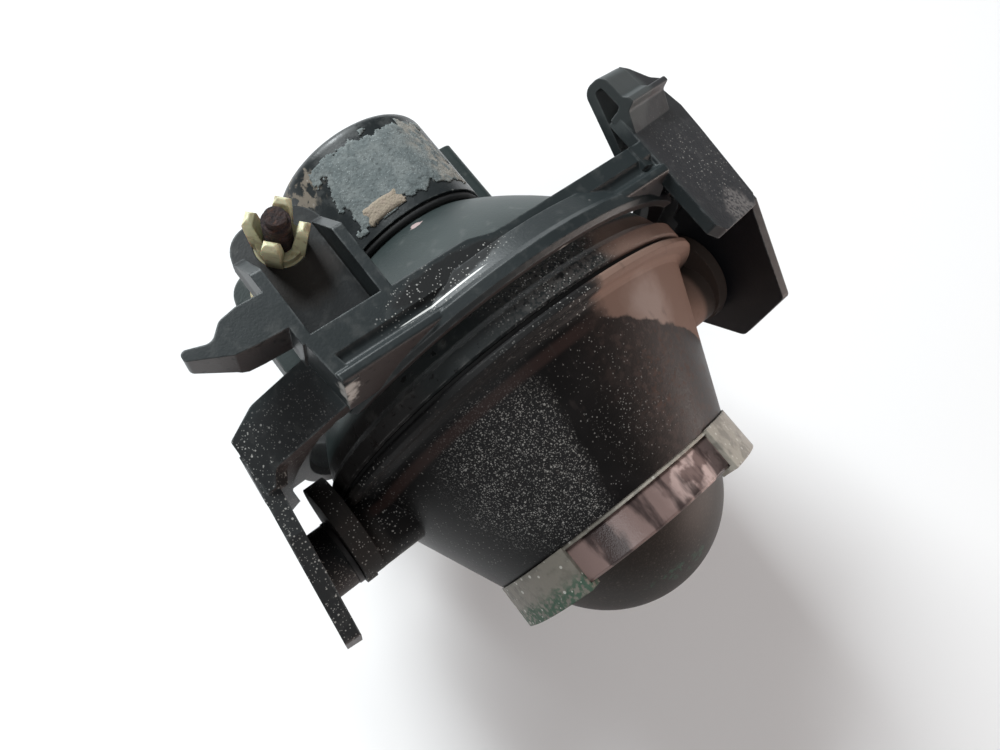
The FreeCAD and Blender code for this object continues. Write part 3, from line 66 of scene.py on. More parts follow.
# ---------------------------------------------------------------- colours, linear
CHARCOAL = (0.014, 0.0185, 0.0195)
CHARCOAL_LIGHT = (0.028, 0.036, 0.038)
SHOULDER_DARK = (0.0050, 0.0055, 0.0062)
PLUM = (0.0065, 0.0060, 0.0082)
SOOT = (0.002, 0.002, 0.002)
DUST = (0.50, 0.49, 0.46)
# painted reflection: warm pink-brown laid on the bracket's front faces
PINK_BROWN_REFLECTION = (0.050, 0.036, 0.033)
BOWL_GREEN = (0.019, 0.028, 0.0275)
RIM_GREY = (0.055, 0.051, 0.048)
BEIGE = (0.205, 0.132, 0.104)
CONE_BLACK = (0.0045, 0.0042, 0.0042)
RUST = (0.075, 0.030, 0.016)
EAR_BROWN = (0.020, 0.018, 0.0165)
LABEL_GREY = (0.115, 0.135, 0.135)
LABEL_CREAM = (0.30, 0.25, 0.19)
NYLON = (0.58, 0.56, 0.36)
NYLON_DIRT_AND_SHADE = (0.20, 0.15, 0.08)
VERDIGRIS = (0.025, 0.075, 0.045)
WORN_GREY = (0.15, 0.14, 0.135)
SCRATCH_WHITE = (0.75, 0.75, 0.72)
MARK_GREY = (0.55, 0.52, 0.48)
CLIP_GREY = (0.050, 0.058, 0.058)
STAIN_BROWN = (0.030, 0.020, 0.014)
BAR_RUBBED = (0.13, 0.14, 0.14)
BOWL_GREEN_LIGHT = (0.030, 0.041, 0.040)
RIM_BLACK = (0.0085, 0.0105, 0.0110)
RIM_BROWN = (0.016, 0.012, 0.011)
CHIP_PINK = (0.42, 0.32, 0.31)
HOUSING_RUBBED = (0.24, 0.23, 0.22)
CONE_CLOUD = (0.010, 0.009, 0.009)
ROAD_BROWN = (0.024, 0.0155, 0.0135)
ROAD_FILM = (0.085, 0.055, 0.047)
GRIT_BED = (0.020, 0.020, 0.021)
SHEEN_BROWN = (0.040, 0.023, 0.020)
BEIGE_WHITE = (0.36, 0.29, 0.26)
SHELF_BLACK = (0.014, 0.014, 0.014)
STREAK_BROWN = (0.045, 0.036, 0.033)
CAP_DARK = (0.011, 0.0145, 0.0155)
CAP_CLOUD = (0.024, 0.028, 0.029)
CAP_HAZE = (0.055, 0.06, 0.058)
CAP_RUBBED = (0.22, 0.23, 0.22)
GLUE_LIGHT = (0.19, 0.21, 0.205)
GLUE_DARK = (0.055, 0.065, 0.065)
PAPER_CREAM = (0.30, 0.27, 0.23)
PAPER_FLECK = (0.30, 0.33, 0.33)
PAPER_TAN = (0.30, 0.24, 0.19)
DOME_BROWN = (0.024, 0.0175, 0.0135)
DOME_DARK = (0.009, 0.007, 0.0055)
DOME_FROST = (0.055, 0.042, 0.034)
DOME_PIT = (0.15, 0.12, 0.105)
RIM_PINK_REFLECTION = (0.24, 0.165, 0.15)
RIM_GLARE = (0.62, 0.46, 0.42)
RIM_DARK_PATCH = (0.025, 0.018, 0.018)
TAB_CREAM = (0.36, 0.33, 0.28)
TAB_GREY = (0.20, 0.185, 0.16)
TAB_SHADE = (0.075, 0.066, 0.050)
TAB_FLECK = (0.62, 0.60, 0.55)
STEEL_BROWN = (0.030, 0.016, 0.014)
STEEL_DARK = (0.012, 0.008, 0.009)

# ---------------------------------------------------------------- fixed values of the materials
BEVEL_SAMPLES = 6
NOISE_MIDDLE = 0.5
NOISE_SPREAD = 4       # reach of a wobble, as a multiple of its size

# ---------------------------------------------------------------- label and stage
LABEL_STEP_MM = 0.35
LABEL_PAPER_MM = 0.12
LABEL_EDGE_MARGIN = 0.02
LABEL_NOISE_SCALE = 0.085
FLOOR_HALF = 3.0
FLOOR_GAP_MM = 1.5
FLOOR_WHITE = (0.86, 0.86, 0.86, 1.0)
SKY_COLOUR = (0.95, 0.97, 1.0, 1.0)
SKY_STRENGTH = 0.16


def place_camera():
    """Camera at the angle, distance and lens of the reference view."""
    data = bpy.data.cameras.new("camera")
    data.lens = CAMERA_LENS
    data.sensor_width = SENSOR_WIDTH
    data.clip_start = NEAR_CLIP
    camera = bpy.data.objects.new("camera", data)
    back = CAMERA_RIGHT.cross(CAMERA_UP)
    turn = Matrix((CAMERA_RIGHT, CAMERA_UP, back)).transposed().to_4x4()
    camera.matrix_world = Matrix.Translation(CAMERA_PLACE) @ turn
    bpy.context.scene.collection.objects.link(camera)
    bpy.context.scene.camera = camera


class Paint:
    """One material, built as layers of colour, roughness and height over object coordinates."""

    def __init__(self, name, colour, roughness, **values):
        self.material = bpy.data.materials.new(name)
        self.material.use_nodes = True
        self.nodes = self.material.node_tree.nodes
        self.links = self.material.node_tree.links
        self.shader = self.nodes["Principled BSDF"]
        coordinates = self.nodes.new("ShaderNodeTexCoord")
        self.place = coordinates.outputs["Object"]
        self.facing = coordinates.outputs["Normal"]
        self.colour = (*colour, 1.0)
        self.roughness = roughness
        self.heights = []
        for socket, value in values.items():
            self.shader.inputs[socket.replace("_", " ")].default_value = value

    def feed(self, socket, value):
        """Connect a socket or set a constant."""
        if isinstance(value, bpy.types.NodeSocket):
            self.links.new(value, socket)
        else:
            socket.default_value = value

    def math(self, operation, first, second=0.0):
        """Result of one calculation on sockets or constants."""
        node = self.nodes.new("ShaderNodeMath")
        node.operation = operation
        self.feed(node.inputs[0], first)
        self.feed(node.inputs[1], second)
        return node.outputs[0]

    def times(self, *factors):
        """Product of masks or constants."""
        product = factors[0]
        for factor in factors[1:]:
            product = self.math("MULTIPLY", product, factor)
        return product

    def either(self, *masks):
        """Mask of the places where at least one mask is set."""
        highest = masks[0]
        for mask in masks[1:]:
            highest = self.math("MAXIMUM", highest, mask)
        return highest

    def without(self, mask):
        """The opposite of a mask."""
        return self.math("SUBTRACT", 1.0, mask)

    def step(self, value, low, high):
        """0 below low, 1 above high, smooth in between; low above high turns it round."""
        node = self.nodes.new("ShaderNodeMapRange")
        node.interpolation_type = "SMOOTHSTEP"
        self.feed(node.inputs["Value"], value)
        if low < high:
            limits = (low, high, 0.0, 1.0)
        else:
            limits = (high, low, 1.0, 0.0)
        for socket, limit in zip(("From Min", "From Max", "To Min", "To Max"), limits):
            node.inputs[socket].default_value = limit
        return node.outputs[0]

    def noise(self, size_mm, seed=0.0, detail=3.0, stretch=(1, 1, 1)):
        """Cloudy value around 0.5 with features of about size_mm."""
        node = self.nodes.new("ShaderNodeTexNoise")
        node.noise_dimensions = "4D"
        node.inputs["W"].default_value = seed
        node.inputs["Scale"].default_value = 1.0 / (size_mm * MM)
        node.inputs["Detail"].default_value = detail
        place = self.place
        if stretch != (1, 1, 1):
            mapping = self.nodes.new("ShaderNodeMapping")
            mapping.inputs["Scale"].default_value = stretch
            self.links.new(place, mapping.inputs["Vector"])
            place = mapping.outputs[0]
        self.links.new(place, node.inputs["Vector"])
        return node.outputs[0]

    def grains(self, size_mm, fill, seed=0.0):
        """Mask of small separate grains; fill is the share of cells that hold one."""
        cells = self.nodes.new("ShaderNodeTexVoronoi")
        cells.voronoi_dimensions = "4D"
        cells.inputs["W"].default_value = seed
        cells.inputs["Scale"].default_value = 1.0 / (size_mm * MM)
        self.links.new(self.place, cells.inputs["Vector"])
        split = self.nodes.new("ShaderNodeSeparateColor")
        self.links.new(cells.outputs["Color"], split.inputs[0])
        chosen = self.step(split.outputs[0], fill + 0.02, fill)
        size = self.math("MULTIPLY", split.outputs[1], 0.30)
        inside = self.math("SUBTRACT", self.math("ADD", size, 0.22), cells.outputs["Distance"])
        return self.times(chosen, self.step(inside, 0.0, 0.09))

    def along(self, axis, source=None):
        """Component of the object's coordinates, or of another vector, on an axis."""
        split = self.nodes.new("ShaderNodeSeparateXYZ")
        self.links.new(source or self.place, split.inputs[0])
        return split.outputs["XYZ".index(axis)]

    def across(self, direction):
        """Distance along a slanted direction of the object."""
        node = self.nodes.new("ShaderNodeVectorMath")
        node.operation = "DOT_PRODUCT"
        self.links.new(self.place, node.inputs[0])
        node.inputs[1].default_value = direction
        return node.outputs["Value"]

    def wobble(self, wobble_mm, size_mm, seed):
        """Uneven offset for the edge of a mask."""
        shake = self.math("SUBTRACT", self.noise(size_mm, seed), NOISE_MIDDLE)
        return self.math("MULTIPLY", shake, NOISE_SPREAD * wobble_mm * MM)

    def beyond(self, axis, start_mm, end_mm, wobble_mm=0.0, size_mm=5.0, seed=0.0):
        """Mask that rises from start to end along an axis or direction, with an uneven edge."""
        value = self.along(axis) if isinstance(axis, str) else self.across(axis)
        if wobble_mm:
            value = self.math("ADD", value, self.wobble(wobble_mm, size_mm, seed))
        return self.step(value, start_mm * MM, end_mm * MM)

    def near(
        self, centre_mm, radius_mm, soft_mm, wobble_mm=0.0, size_mm=4.0, seed=0.0, reach=(1, 1, 1)
    ):
        """Mask of a patch around a point; reach scales its extent along each axis."""
        shift = self.nodes.new("ShaderNodeVectorMath")
        shift.operation = "SUBTRACT"
        self.links.new(self.place, shift.inputs[0])
        shift.inputs[1].default_value = [value * MM for value in centre_mm]
        scale = self.nodes.new("ShaderNodeVectorMath")
        scale.operation = "DIVIDE"
        self.links.new(shift.outputs[0], scale.inputs[0])
        scale.inputs[1].default_value = reach
        length = self.nodes.new("ShaderNodeVectorMath")
        length.operation = "LENGTH"
        self.links.new(scale.outputs[0], length.inputs[0])
        distance = length.outputs["Value"]
        if wobble_mm:
            distance = self.math("ADD", distance, self.wobble(wobble_mm, size_mm, seed))
        return self.step(distance, radius_mm * MM, max(radius_mm - soft_mm, 0.0) * MM)

    def faces(self, axis, low, high):
        """Mask of faces that look along an axis, by the share of their normal."""
        return self.step(self.along(axis, self.facing), low, high)

    def edges(self, radius_mm, low, high):
        """Mask of the sharp edges of the shape."""
        bevel = self.nodes.new("ShaderNodeBevel")
        bevel.samples = BEVEL_SAMPLES
        bevel.inputs["Radius"].default_value = radius_mm * MM
        geometry = self.nodes.new("ShaderNodeNewGeometry")
        product = self.nodes.new("ShaderNodeVectorMath")
        product.operation = "DOT_PRODUCT"
        self.links.new(bevel.outputs[0], product.inputs[0])
        self.links.new(geometry.outputs["Normal"], product.inputs[1])
        return self.step(product.outputs["Value"], high, low)

    def layer(self, mask, colour, share=1.0, roughness=None):
        """Paint a colour, and a roughness, where the mask is."""
        if share != 1.0:
            mask = self.times(mask, share)
        node = self.nodes.new("ShaderNodeMix")
        node.data_type = "RGBA"
        self.feed(node.inputs[0], mask)
        self.feed(node.inputs[6], self.colour)
        node.inputs[7].default_value = (*colour, 1.0)
        self.colour = node.outputs[2]
        if roughness is not None:
            blend = self.nodes.new("ShaderNodeMix")
            self.feed(blend.inputs[0], mask)
            self.feed(blend.inputs[2], self.roughness)
            blend.inputs[3].default_value = roughness
            self.roughness = blend.outputs[0]

    def raise_by(self, mask, height_mm):
        """Height of a mask over the surface, in millimetres."""
        self.heights.append((mask, height_mm))

    def finish(self, round_mm=0.35):
        """Connect the layers; sharp edges get a small shaded rounding."""
        self.feed(self.shader.inputs["Base Color"], self.colour)
        self.feed(self.shader.inputs["Roughness"], self.roughness)
        bevel = self.nodes.new("ShaderNodeBevel")
        bevel.samples = BEVEL_SAMPLES
        bevel.inputs["Radius"].default_value = round_mm * MM
        normal = bevel.outputs[0]
        for mask, height in self.heights:
            bump = self.nodes.new("ShaderNodeBump")
            bump.invert = height < 0
            bump.inputs["Distance"].default_value = abs(height) * MM
            self.links.new(mask, bump.inputs["Height"])
            self.links.new(normal, bump.inputs["Normal"])
            normal = bump.outputs[0]
        self.links.new(normal, self.shader.inputs["Normal"])
        return self.material


# ---------------------------------------------------------------- materials of the slots
# Places, sizes and edges of masks are millimetres in the object's frame; seeds tell noises apart.
def bracket_plastic():
    """Charcoal moulding with dusty shoulders, a scratched bar and a worn corner."""
    paint = Paint("bracket_plastic", CHARCOAL, 0.40, Specular_IOR_Level=0.38)
    cloud = paint.noise(14, 1.0)
    paint.layer(paint.step(cloud, 0.35, 0.75), CHARCOAL_LIGHT, 0.22, 0.48)
    right = paint.beyond("X", 32, 35)
    paint.layer(right, PLUM, 0.85, 0.48)
    left = paint.beyond("X", -41.5, -44, 1.0, 6.0, 5.0)
    in_front = paint.beyond("Y", 11.5, 7.5)
    dusty = paint.times(left, in_front)
    paint.layer(dusty, SHOULDER_DARK, 0.85, 0.55)
    # painted shade: the recess of the pocket is darkened where shade falls in it
    pocket_shade = paint.times(paint.beyond("Y", 10, 12), paint.beyond("Z", 42, 40.5))
    paint.layer(pocket_shade, SHOULDER_DARK, 0.7, 0.55)
    # painted reflection: faces that look to the front get a pink-brown colour standing in for warm light
    # reflected onto them
    front = paint.faces("Y", -0.55, -0.95)
    paint.layer(front, PINK_BROWN_REFLECTION, 0.62, 0.55)
    film = paint.times(paint.step(paint.noise(2.2, 2.0, 6.0), 0.52, 0.72), paint.faces("Z", 0.2, 0.9))
    paint.layer(film, DUST, 0.035, 0.55)
    soot = paint.near((-15, 6.6, 47), 13.5, 4, 2.2, 3.0, 3.0, (1.0, 0.24, 0.45))
    paint.layer(soot, SOOT, 0.9, 0.8)
    soot_field = paint.near((-16, 6.0, 47), 17, 6, 2.0, 3.0, 3.5, (1.0, 0.28, 0.5))
    soot_grains = paint.times(soot_field, paint.grains(0.38, 0.42, 4.0))
    paint.layer(soot_grains, DUST, 0.6, 0.8)
    outward = paint.math("ADD", paint.beyond("X", -48, -60), 0.35)
    paint.layer(paint.times(dusty, paint.grains(0.50, 0.36, 6.0), outward), DUST, 0.42, 0.8)
    paint.layer(paint.times(dusty, paint.grains(0.32, 0.50, 7.0), outward), DUST, 0.30, 0.8)
    plate = paint.near((46, 1, 41), 15, 9, 2.5, 5.0, 8.0)
    paint.layer(paint.times(plate, paint.grains(0.42, 0.34, 9.0)), DUST, 0.5, 0.8)
    worn = paint.near((45.5, -13.5, 41.5), 7.0, 2.5, 1.6, 2.5, 10.0)
    worn_patches = paint.times(worn, paint.step(paint.noise(0.8, 11.0), 0.38, 0.55))
    paint.layer(worn_patches, WORN_GREY, 0.75, 0.8)
    scratch_line = paint.near((-18.8, 3.5, 48), 10.0, 2.0, 0.8, 2.0, 12.0, (1.0, 0.022, 0.60))
    paint.layer(scratch_line, SCRATCH_WHITE, 0.9, 0.5)
    marks = paint.either(
        paint.near((14.6, 3.6, 47.4), 1.1, 0.5, 0.4, 0.8, 13.0, (1.6, 0.6, 1)),
        paint.near((3.1, -1.3, 50.2), 0.8, 0.4, 0.3, 0.8, 14.0, (1.8, 0.6, 1)),
        paint.near((-41, -1.5, 44), 3.4, 1.6, 1.4, 1.6, 15.0, (1.0, 1.0, 1.3)),
    )
    paint.layer(marks, MARK_GREY, 0.6, 0.8)
    clip = paint.near((37, 19, 49), 9.5, 3.0, 1.0, 3.0, 15.5)
    paint.layer(clip, CLIP_GREY, 0.8, 0.5)
    stain = paint.near((-33.9, 24, 40), 8.5, 4.0, 1.6, 3.0, 16.0)
    paint.layer(stain, STAIN_BROWN, 0.45, 0.7)
    chips = paint.times(front, paint.step(paint.noise(1.6, 17.0, 5.0), 0.60, 0.66))
    paint.layer(chips, SOOT, 0.75)
    rub = paint.times(paint.edges(0.7, 0.90, 0.985), paint.step(paint.noise(3.0, 18.0), 0.40, 0.62))
    paint.layer(rub, BAR_RUBBED, 0.5, 0.5)
    paint.raise_by(paint.noise(0.45, 19.0, 2.0), 0.030)
    paint.raise_by(paint.noise(9.0, 20.0, 2.0), 0.10)
    return paint.finish()


def housing_plastic():
    """Green-grey bowl behind a chipped and faded rim."""
    paint = Paint("housing_plastic", BOWL_GREEN, 0.46, Specular_IOR_Level=0.35)
    paint.layer(paint.step(paint.noise(11, 1.5), 0.40, 0.66), BOWL_GREEN_LIGHT, 0.6, 0.5)
    rim = paint.beyond("Y", 0.5, -0.5)
    paint.layer(rim, RIM_BLACK, 0.85, 0.6)
    grey = paint.times(rim, paint.beyond("X", -18, -2, 2.0, 4.0, 2.5))
    paint.layer(paint.times(grey, paint.step(paint.noise(0.55, 2.6, 4.0), 0.40, 0.52)), RIM_GREY, 0.95)
    paint.layer(paint.times(grey, paint.grains(0.42, 0.62, 5.5)), DUST, 0.60, 0.8)
    faded = paint.times(rim, paint.beyond("X", 8, 15, 2.5, 5.0, 3.5))
    paint.layer(faded, BEIGE, 0.92, 0.65)
    black = paint.times(rim, paint.beyond("X", 12, 2), paint.step(paint.noise(1.6, 4.5, 6.0), 0.60, 0.63))
    paint.layer(black, SOOT, 0.9, 0.4)
    brown = paint.times(rim, paint.beyond("X", -26, -36, 3.0))
    paint.layer(brown, RIM_BROWN, 0.6)
    chip = paint.near((-3.9, 28.2, 22.0), 1.7, 0.5, 0.6, 1.2, 6.5)
    paint.layer(chip, CHIP_PINK, 0.9, 0.5)
    dust = paint.times(paint.step(paint.noise(3.4, 7.5, 6.0), 0.55, 0.75), paint.faces("Z", 0.1, 0.9))
    paint.layer(dust, DUST, 0.10, 0.7)
    rub = paint.times(paint.edges(0.6, 0.90, 0.985), paint.step(paint.noise(2.5, 8.5), 0.42, 0.62))
    paint.layer(rub, HOUSING_RUBBED, 0.5)
    paint.raise_by(paint.noise(0.5, 9.5, 2.0), 0.04)
    paint.raise_by(black, -0.12)
    return paint.finish()


def cone_plastic():
    """Dark cone with a dense patch of grit, a bare faded patch and brown road film, a painted sheen along
    the left of the rim and a partly painted sheen at the lower right.
    """
    paint = Paint("cone_plastic", CONE_BLACK, 0.38, Specular_IOR_Level=0.16)
    paint.layer(paint.step(paint.noise(9, 1.2), 0.40, 0.66), CONE_CLOUD, 0.7, 0.40)
    right = paint.beyond("X", -6, 12, 2.5, 8.0, 2.2)
    paint.layer(right, ROAD_BROWN, 0.7, 0.42)
    film = paint.times(right, paint.step(paint.noise(1.4, 3.2, 6.0), 0.47, 0.66))
    paint.layer(film, ROAD_FILM, 0.45, 0.6)
    # patchy orange-brown at the lower right, partly an ochre stain and partly a painted brownish sheen
    ochre_and_sheen = paint.times(
        paint.near((13, -29, 34), 13, 9, 2.5, 5.0, 4.2),
        paint.step(paint.noise(0.9, 5.2, 5.0), 0.52, 0.64),
    )
    paint.layer(ochre_and_sheen, RUST, 0.45, 0.7)
    patch = paint.near((-20, -28, 31), 20.5, 9.0, 1.5, 5.0, 6.2)
    edge = paint.beyond("X", -10.5, -13, 0.6, 3.0, 7.2)
    grit = paint.times(patch, edge)
    paint.layer(grit, GRIT_BED, 0.55, 0.6)
    grain_layers = ((0.32, 0.75, 8.2, 0.50), (0.24, 0.75, 9.2, 0.40), (0.45, 0.30, 10.2, 0.60))
    for size, fill, seed, share in grain_layers:
        paint.layer(paint.times(grit, paint.grains(size, fill, seed)), DUST, share, 0.8)
    around = paint.times(paint.beyond("X", 14, 2, 3.0), paint.beyond("Y", -44, -36, 2.0))
    paint.layer(paint.times(around, paint.grains(0.36, 0.20, 11.2)), DUST, 0.30, 0.8)
    second = paint.near((-2, -31, 35.5), 8, 6, 1.5, 4.0, 11.7)
    paint.layer(paint.times(second, paint.grains(0.34, 0.40, 12.7)), DUST, 0.32, 0.8)
    # painted sheen: a pink-brown band along the left of the rim's base stands in for a soft highlight
    sheen = paint.times(
        paint.beyond("X", 6, -4),
        paint.beyond("Y", -15.6, -14.6),
        paint.beyond("Y", -12.6, -13.6),
    )
    paint.layer(sheen, SHEEN_BROWN, 0.7)
    bare = paint.times(
        paint.beyond("X", 2.0, 6.0, 1.5, 4.0, 12.2),
        paint.beyond((0.52, 1.0, 0.0), -12.4, -11.6, 0.8, 3.0, 13.2),
    )
    paint.layer(bare, BEIGE, 0.94, 0.7)
    white_centre = paint.near((16, -17, 38), 9, 7, 1.5, 4.0, 13.7)
    paint.layer(paint.times(bare, white_centre), BEIGE_WHITE, 0.7)
    shelf = paint.times(paint.beyond("Y", -12.6, -11.8), paint.without(bare))
    paint.layer(shelf, SHELF_BLACK, 0.7, 0.6)
    lit_shelf = paint.times(shelf, paint.beyond("X", -26, 2))
    paint.layer(paint.times(lit_shelf, paint.grains(0.40, 0.50, 15.2)), DUST, 0.5, 0.8)
    outer = paint.either(paint.beyond("X", -44.5, -46.5), paint.beyond("X", 44.5, 46.5))
    paint.layer(outer, EAR_BROWN, 0.85, 0.6)
    left_end = paint.beyond("X", -38, -42, 1.5)
    paint.layer(paint.times(left_end, paint.grains(0.42, 0.36, 16.2)), DUST, 0.42, 0.8)
    streaks = paint.step(paint.noise(2.0, 17.2, 4.0, (1.0, 0.12, 1.0)), 0.60, 0.74)
    paint.layer(streaks, STREAK_BROWN, 0.30)
    paint.raise_by(paint.noise(0.4, 18.2, 2.0), 0.03)
    paint.raise_by(paint.times(grit, paint.noise(0.5, 19.2, 3.0)), 0.10)
    return paint.finish()


def cap_plastic():
    """Dark cap, dusty at its edges."""
    paint = Paint("cap_plastic", CAP_DARK, 0.34)
    paint.layer(paint.step(paint.noise(8, 1.7), 0.42, 0.66), CAP_CLOUD, 0.6, 0.45)
    smear = paint.near((-16, 52.5, 13), 6.5, 3.0, 2.0, 2.4, 2.7)
    torn = paint.times(smear, paint.step(paint.noise(1.8, 3.7, 5.0), 0.47, 0.56))
    paint.layer(torn, LABEL_CREAM, 0.55, 0.85)
    halo = paint.near((2, 47, 20), 21, 7, 2.5, 4.0, 4.7, (1.0, 0.65, 1.0))
    haze = paint.times(halo, paint.step(paint.noise(3.0, 5.7, 5.0), 0.45, 0.62))
    paint.layer(haze, CAP_HAZE, 0.5, 0.75)
    rub = paint.times(paint.edges(0.6, 0.90, 0.985), paint.step(paint.noise(2.5, 6.7), 0.42, 0.62))
    paint.layer(rub, CAP_RUBBED, 0.5)
    paint.layer(paint.grains(0.9, 0.05, 7.7), DUST, 0.35)
    paint.raise_by(paint.noise(0.5, 8.7, 2.0), 0.04)
    return paint.finish()


def label_residue():
    """Grey glue and paper left by a torn label, cream where it is thick."""
    paint = Paint("label_residue", LABEL_GREY, 0.88)
    paint.layer(paint.step(paint.noise(4.0, 1.1, 6.0), 0.42, 0.62), GLUE_LIGHT, 0.7)
    paint.layer(paint.step(paint.noise(1.1, 2.1, 6.0), 0.54, 0.66), GLUE_DARK, 0.6)
    cream = paint.beyond("X", 7.5, 13, 2.5, 3.0, 3.1)
    torn_cream = paint.times(cream, paint.step(paint.noise(2.2, 3.6, 4.0), 0.40, 0.55))
    paint.layer(torn_cream, PAPER_CREAM, 0.8)
    paint.layer(paint.grains(0.34, 0.45, 4.1), PAPER_FLECK, 0.6)
    paint.raise_by(paint.noise(0.8, 5.1, 5.0), 0.30)
    return paint.finish(0.1)


def label_edge():
    """Thick torn paper at the rim of the residue."""
    paint = Paint("label_edge", LABEL_CREAM, 0.9)
    paint.layer(paint.step(paint.noise(0.9, 1.9, 5.0), 0.46, 0.62), PAPER_TAN, 0.7)
    paint.raise_by(paint.noise(0.5, 2.9, 4.0), 0.25)
    return paint.finish(0.1)


def lens_glass():
    """Sand-blasted brown dome with a clear, glossy rim; the rim carries a painted pink reflection, a
    painted highlight on its right and darker patches.
    """
    optics = {"Transmission_Weight": 0.06, "IOR": 1.45, "Specular_IOR_Level": 0.30}
    paint = Paint("lens_glass", DOME_BROWN, 0.50, **optics)
    # painted shade: the darker centre stands for the shaded inside of the lamp seen through the dome
    centre = paint.near((-4, -62, 6), 24, 16, 3.0, 7.0, 1.3)
    paint.layer(centre, DOME_DARK, 0.75, 0.52)
    paint.layer(paint.step(paint.noise(0.35, 2.3, 3.0), 0.50, 0.66), DOME_FROST, 0.35)
    pits = paint.grains(0.6, 0.22, 3.3)
    paint.layer(paint.times(pits, centre), DOME_PIT, 0.35)
    streak = paint.near((-3, -60, 14), 3.2, 1.6, 1.4, 2.5, 4.3, (3.0, 1.0, 1.0))
    paint.layer(paint.times(streak, paint.step(paint.noise(1.4, 5.3), 0.5, 0.62)), VERDIGRIS, 0.6)
    # painted reflection: the clear rim is coloured pink for the warm light it reflects
    rim = paint.beyond("Y", -50.8, -50.2)
    paint.layer(rim, RIM_PINK_REFLECTION, 0.9, 0.14)
    # painted highlight: bright patches on the right of the rim
    glare = paint.times(rim, paint.beyond("X", -5, 3, 1.0))
    glare_patches = paint.times(glare, paint.step(paint.noise(3.0, 6.8, 3.0), 0.42, 0.56))
    paint.layer(glare_patches, RIM_GLARE, 0.85, 0.12)
    # darker patches breaking up the painted reflection on the rim
    rim_dark_patches = paint.times(rim, paint.step(paint.noise(4.5, 6.3, 4.0, (1.0, 0.3, 1.0)), 0.45, 0.58))
    paint.layer(rim_dark_patches, RIM_DARK_PATCH, 0.85, 0.10)
    paint.raise_by(paint.noise(0.3, 7.3, 2.0), 0.03)
    return paint.finish(0.3)


def retainer_plastic():
    """Aged cream-grey clips with green corrosion along the lower edge."""
    paint = Paint("retainer_plastic", TAB_CREAM, 0.5)
    paint.layer(paint.step(paint.noise(2.2, 1.4, 5.0), 0.46, 0.62), TAB_GREY, 0.7)
    # painted shade: the left clip is darker than the right one
    left = paint.beyond("X", -8, -16)
    paint.layer(left, TAB_SHADE, 0.65, 0.6)
    low = paint.times(left, paint.beyond("Y", -46.5, -49.5, 1.2, 2.0, 2.4))
    paint.layer(paint.times(low, paint.step(paint.noise(1.0, 3.4, 4.0), 0.40, 0.55)), VERDIGRIS, 0.85, 0.8)
    paint.layer(paint.grains(0.9, 0.25, 4.4), TAB_FLECK, 0.6)
    paint.raise_by(paint.noise(0.7, 5.4, 4.0), 0.18)
    return paint.finish()


def nylon_cream():
    """Aged nylon with brown dirt, and painted shade darkening its lower end."""
    paint = Paint("nylon_cream", NYLON, 0.42, Subsurface_Weight=0.15)
    paint.shader.inputs["Subsurface Scale"].default_value = 0.0015
    paint.layer(paint.step(paint.noise(1.6, 1.6, 5.0), 0.52, 0.70), NYLON_DIRT_AND_SHADE, 0.7)
    # painted shade: the lower end of the nut, towards its base in the plate, is darkened
    low = paint.beyond("Z", 43.5, 40.5, 0.6, 2.0, 2.6)
    paint.layer(low, NYLON_DIRT_AND_SHADE, 0.6)
    paint.raise_by(paint.noise(0.6, 3.6, 3.0), 0.08)
    return paint.finish()


def steel_rusty():
    """Screw eaten by rust, with darker patches."""
    paint = Paint("steel_rusty", STEEL_BROWN, 0.80, Metallic=0.25)
    paint.layer(paint.step(paint.noise(0.9, 1.8, 5.0), 0.46, 0.60), STEEL_DARK, 0.85)
    paint.layer(paint.step(paint.noise(0.6, 2.8, 5.0), 0.56, 0.66), RUST, 0.7)
    paint.raise_by(paint.noise(0.7, 3.8, 5.0), 0.45)
    return paint.finish()


def plain(name, colour, roughness, size_mm=3.0, **values):
    """Evenly coloured material with a little wear."""
    paint = Paint(name, colour, roughness, **values)
    darker = [value * 0.55 for value in colour]
    worn = paint.step(paint.noise(size_mm, len(name)), 0.48, 0.68)
    paint.layer(worn, darker, 0.5, min(roughness + 0.15, 1.0))
    paint.raise_by(paint.noise(0.5, len(name) + 1.0, 2.0), 0.03)
    return paint.finish(0.2)


def make_materials():
    """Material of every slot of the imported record."""
    made = {
        "bracket_plastic": bracket_plastic(),
        "housing_plastic": housing_plastic(),
        "cone_plastic": cone_plastic(),
        "cap_plastic": cap_plastic(),
        "lens_glass": lens_glass(),
        "retainer_plastic": retainer_plastic(),
        "nylon_cream": nylon_cream(),
        "steel_rusty": steel_rusty(),
        "rubber_black": plain("rubber_black", (0.012, 0.012, 0.012), 0.7),
        "bush_plastic": plain("bush_plastic", (0.040, 0.036, 0.036), 0.5),
        "steel_zinc": plain("steel_zinc", (0.42, 0.41, 0.39), 0.38, Metallic=0.9),
        "mirror_coat": plain("mirror_coat", (0.82, 0.82, 0.82), 0.08, Metallic=1.0),
        "quartz": plain("quartz", (0.9, 0.9, 0.9), 0.05, Transmission_Weight=0.9),
        "tungsten": plain("tungsten", (0.35, 0.35, 0.36), 0.4, Metallic=1.0),
        "brass_contact": plain("brass_contact", (0.62, 0.46, 0.22), 0.35, Metallic=1.0),
        "wire_insulation": plain("wire_insulation", (0.22, 0.02, 0.015), 0.4),
    }
    slots = {part["node"]: part["material_slot"] for part in frame["record"]["subparts"]}
    for node, obj in frame["nodes"].items():
        obj.data.materials.clear()
        obj.data.materials.append(made[slots[node]])


def link_mesh(name, points, faces):
    """New mesh object in the scene."""
    mesh = bpy.data.meshes.new(name)
    mesh.from_pydata(points, [], faces)
    mesh.update()
    obj = bpy.data.objects.new(name, mesh)
    bpy.context.scene.collection.objects.link(obj)
    return obj


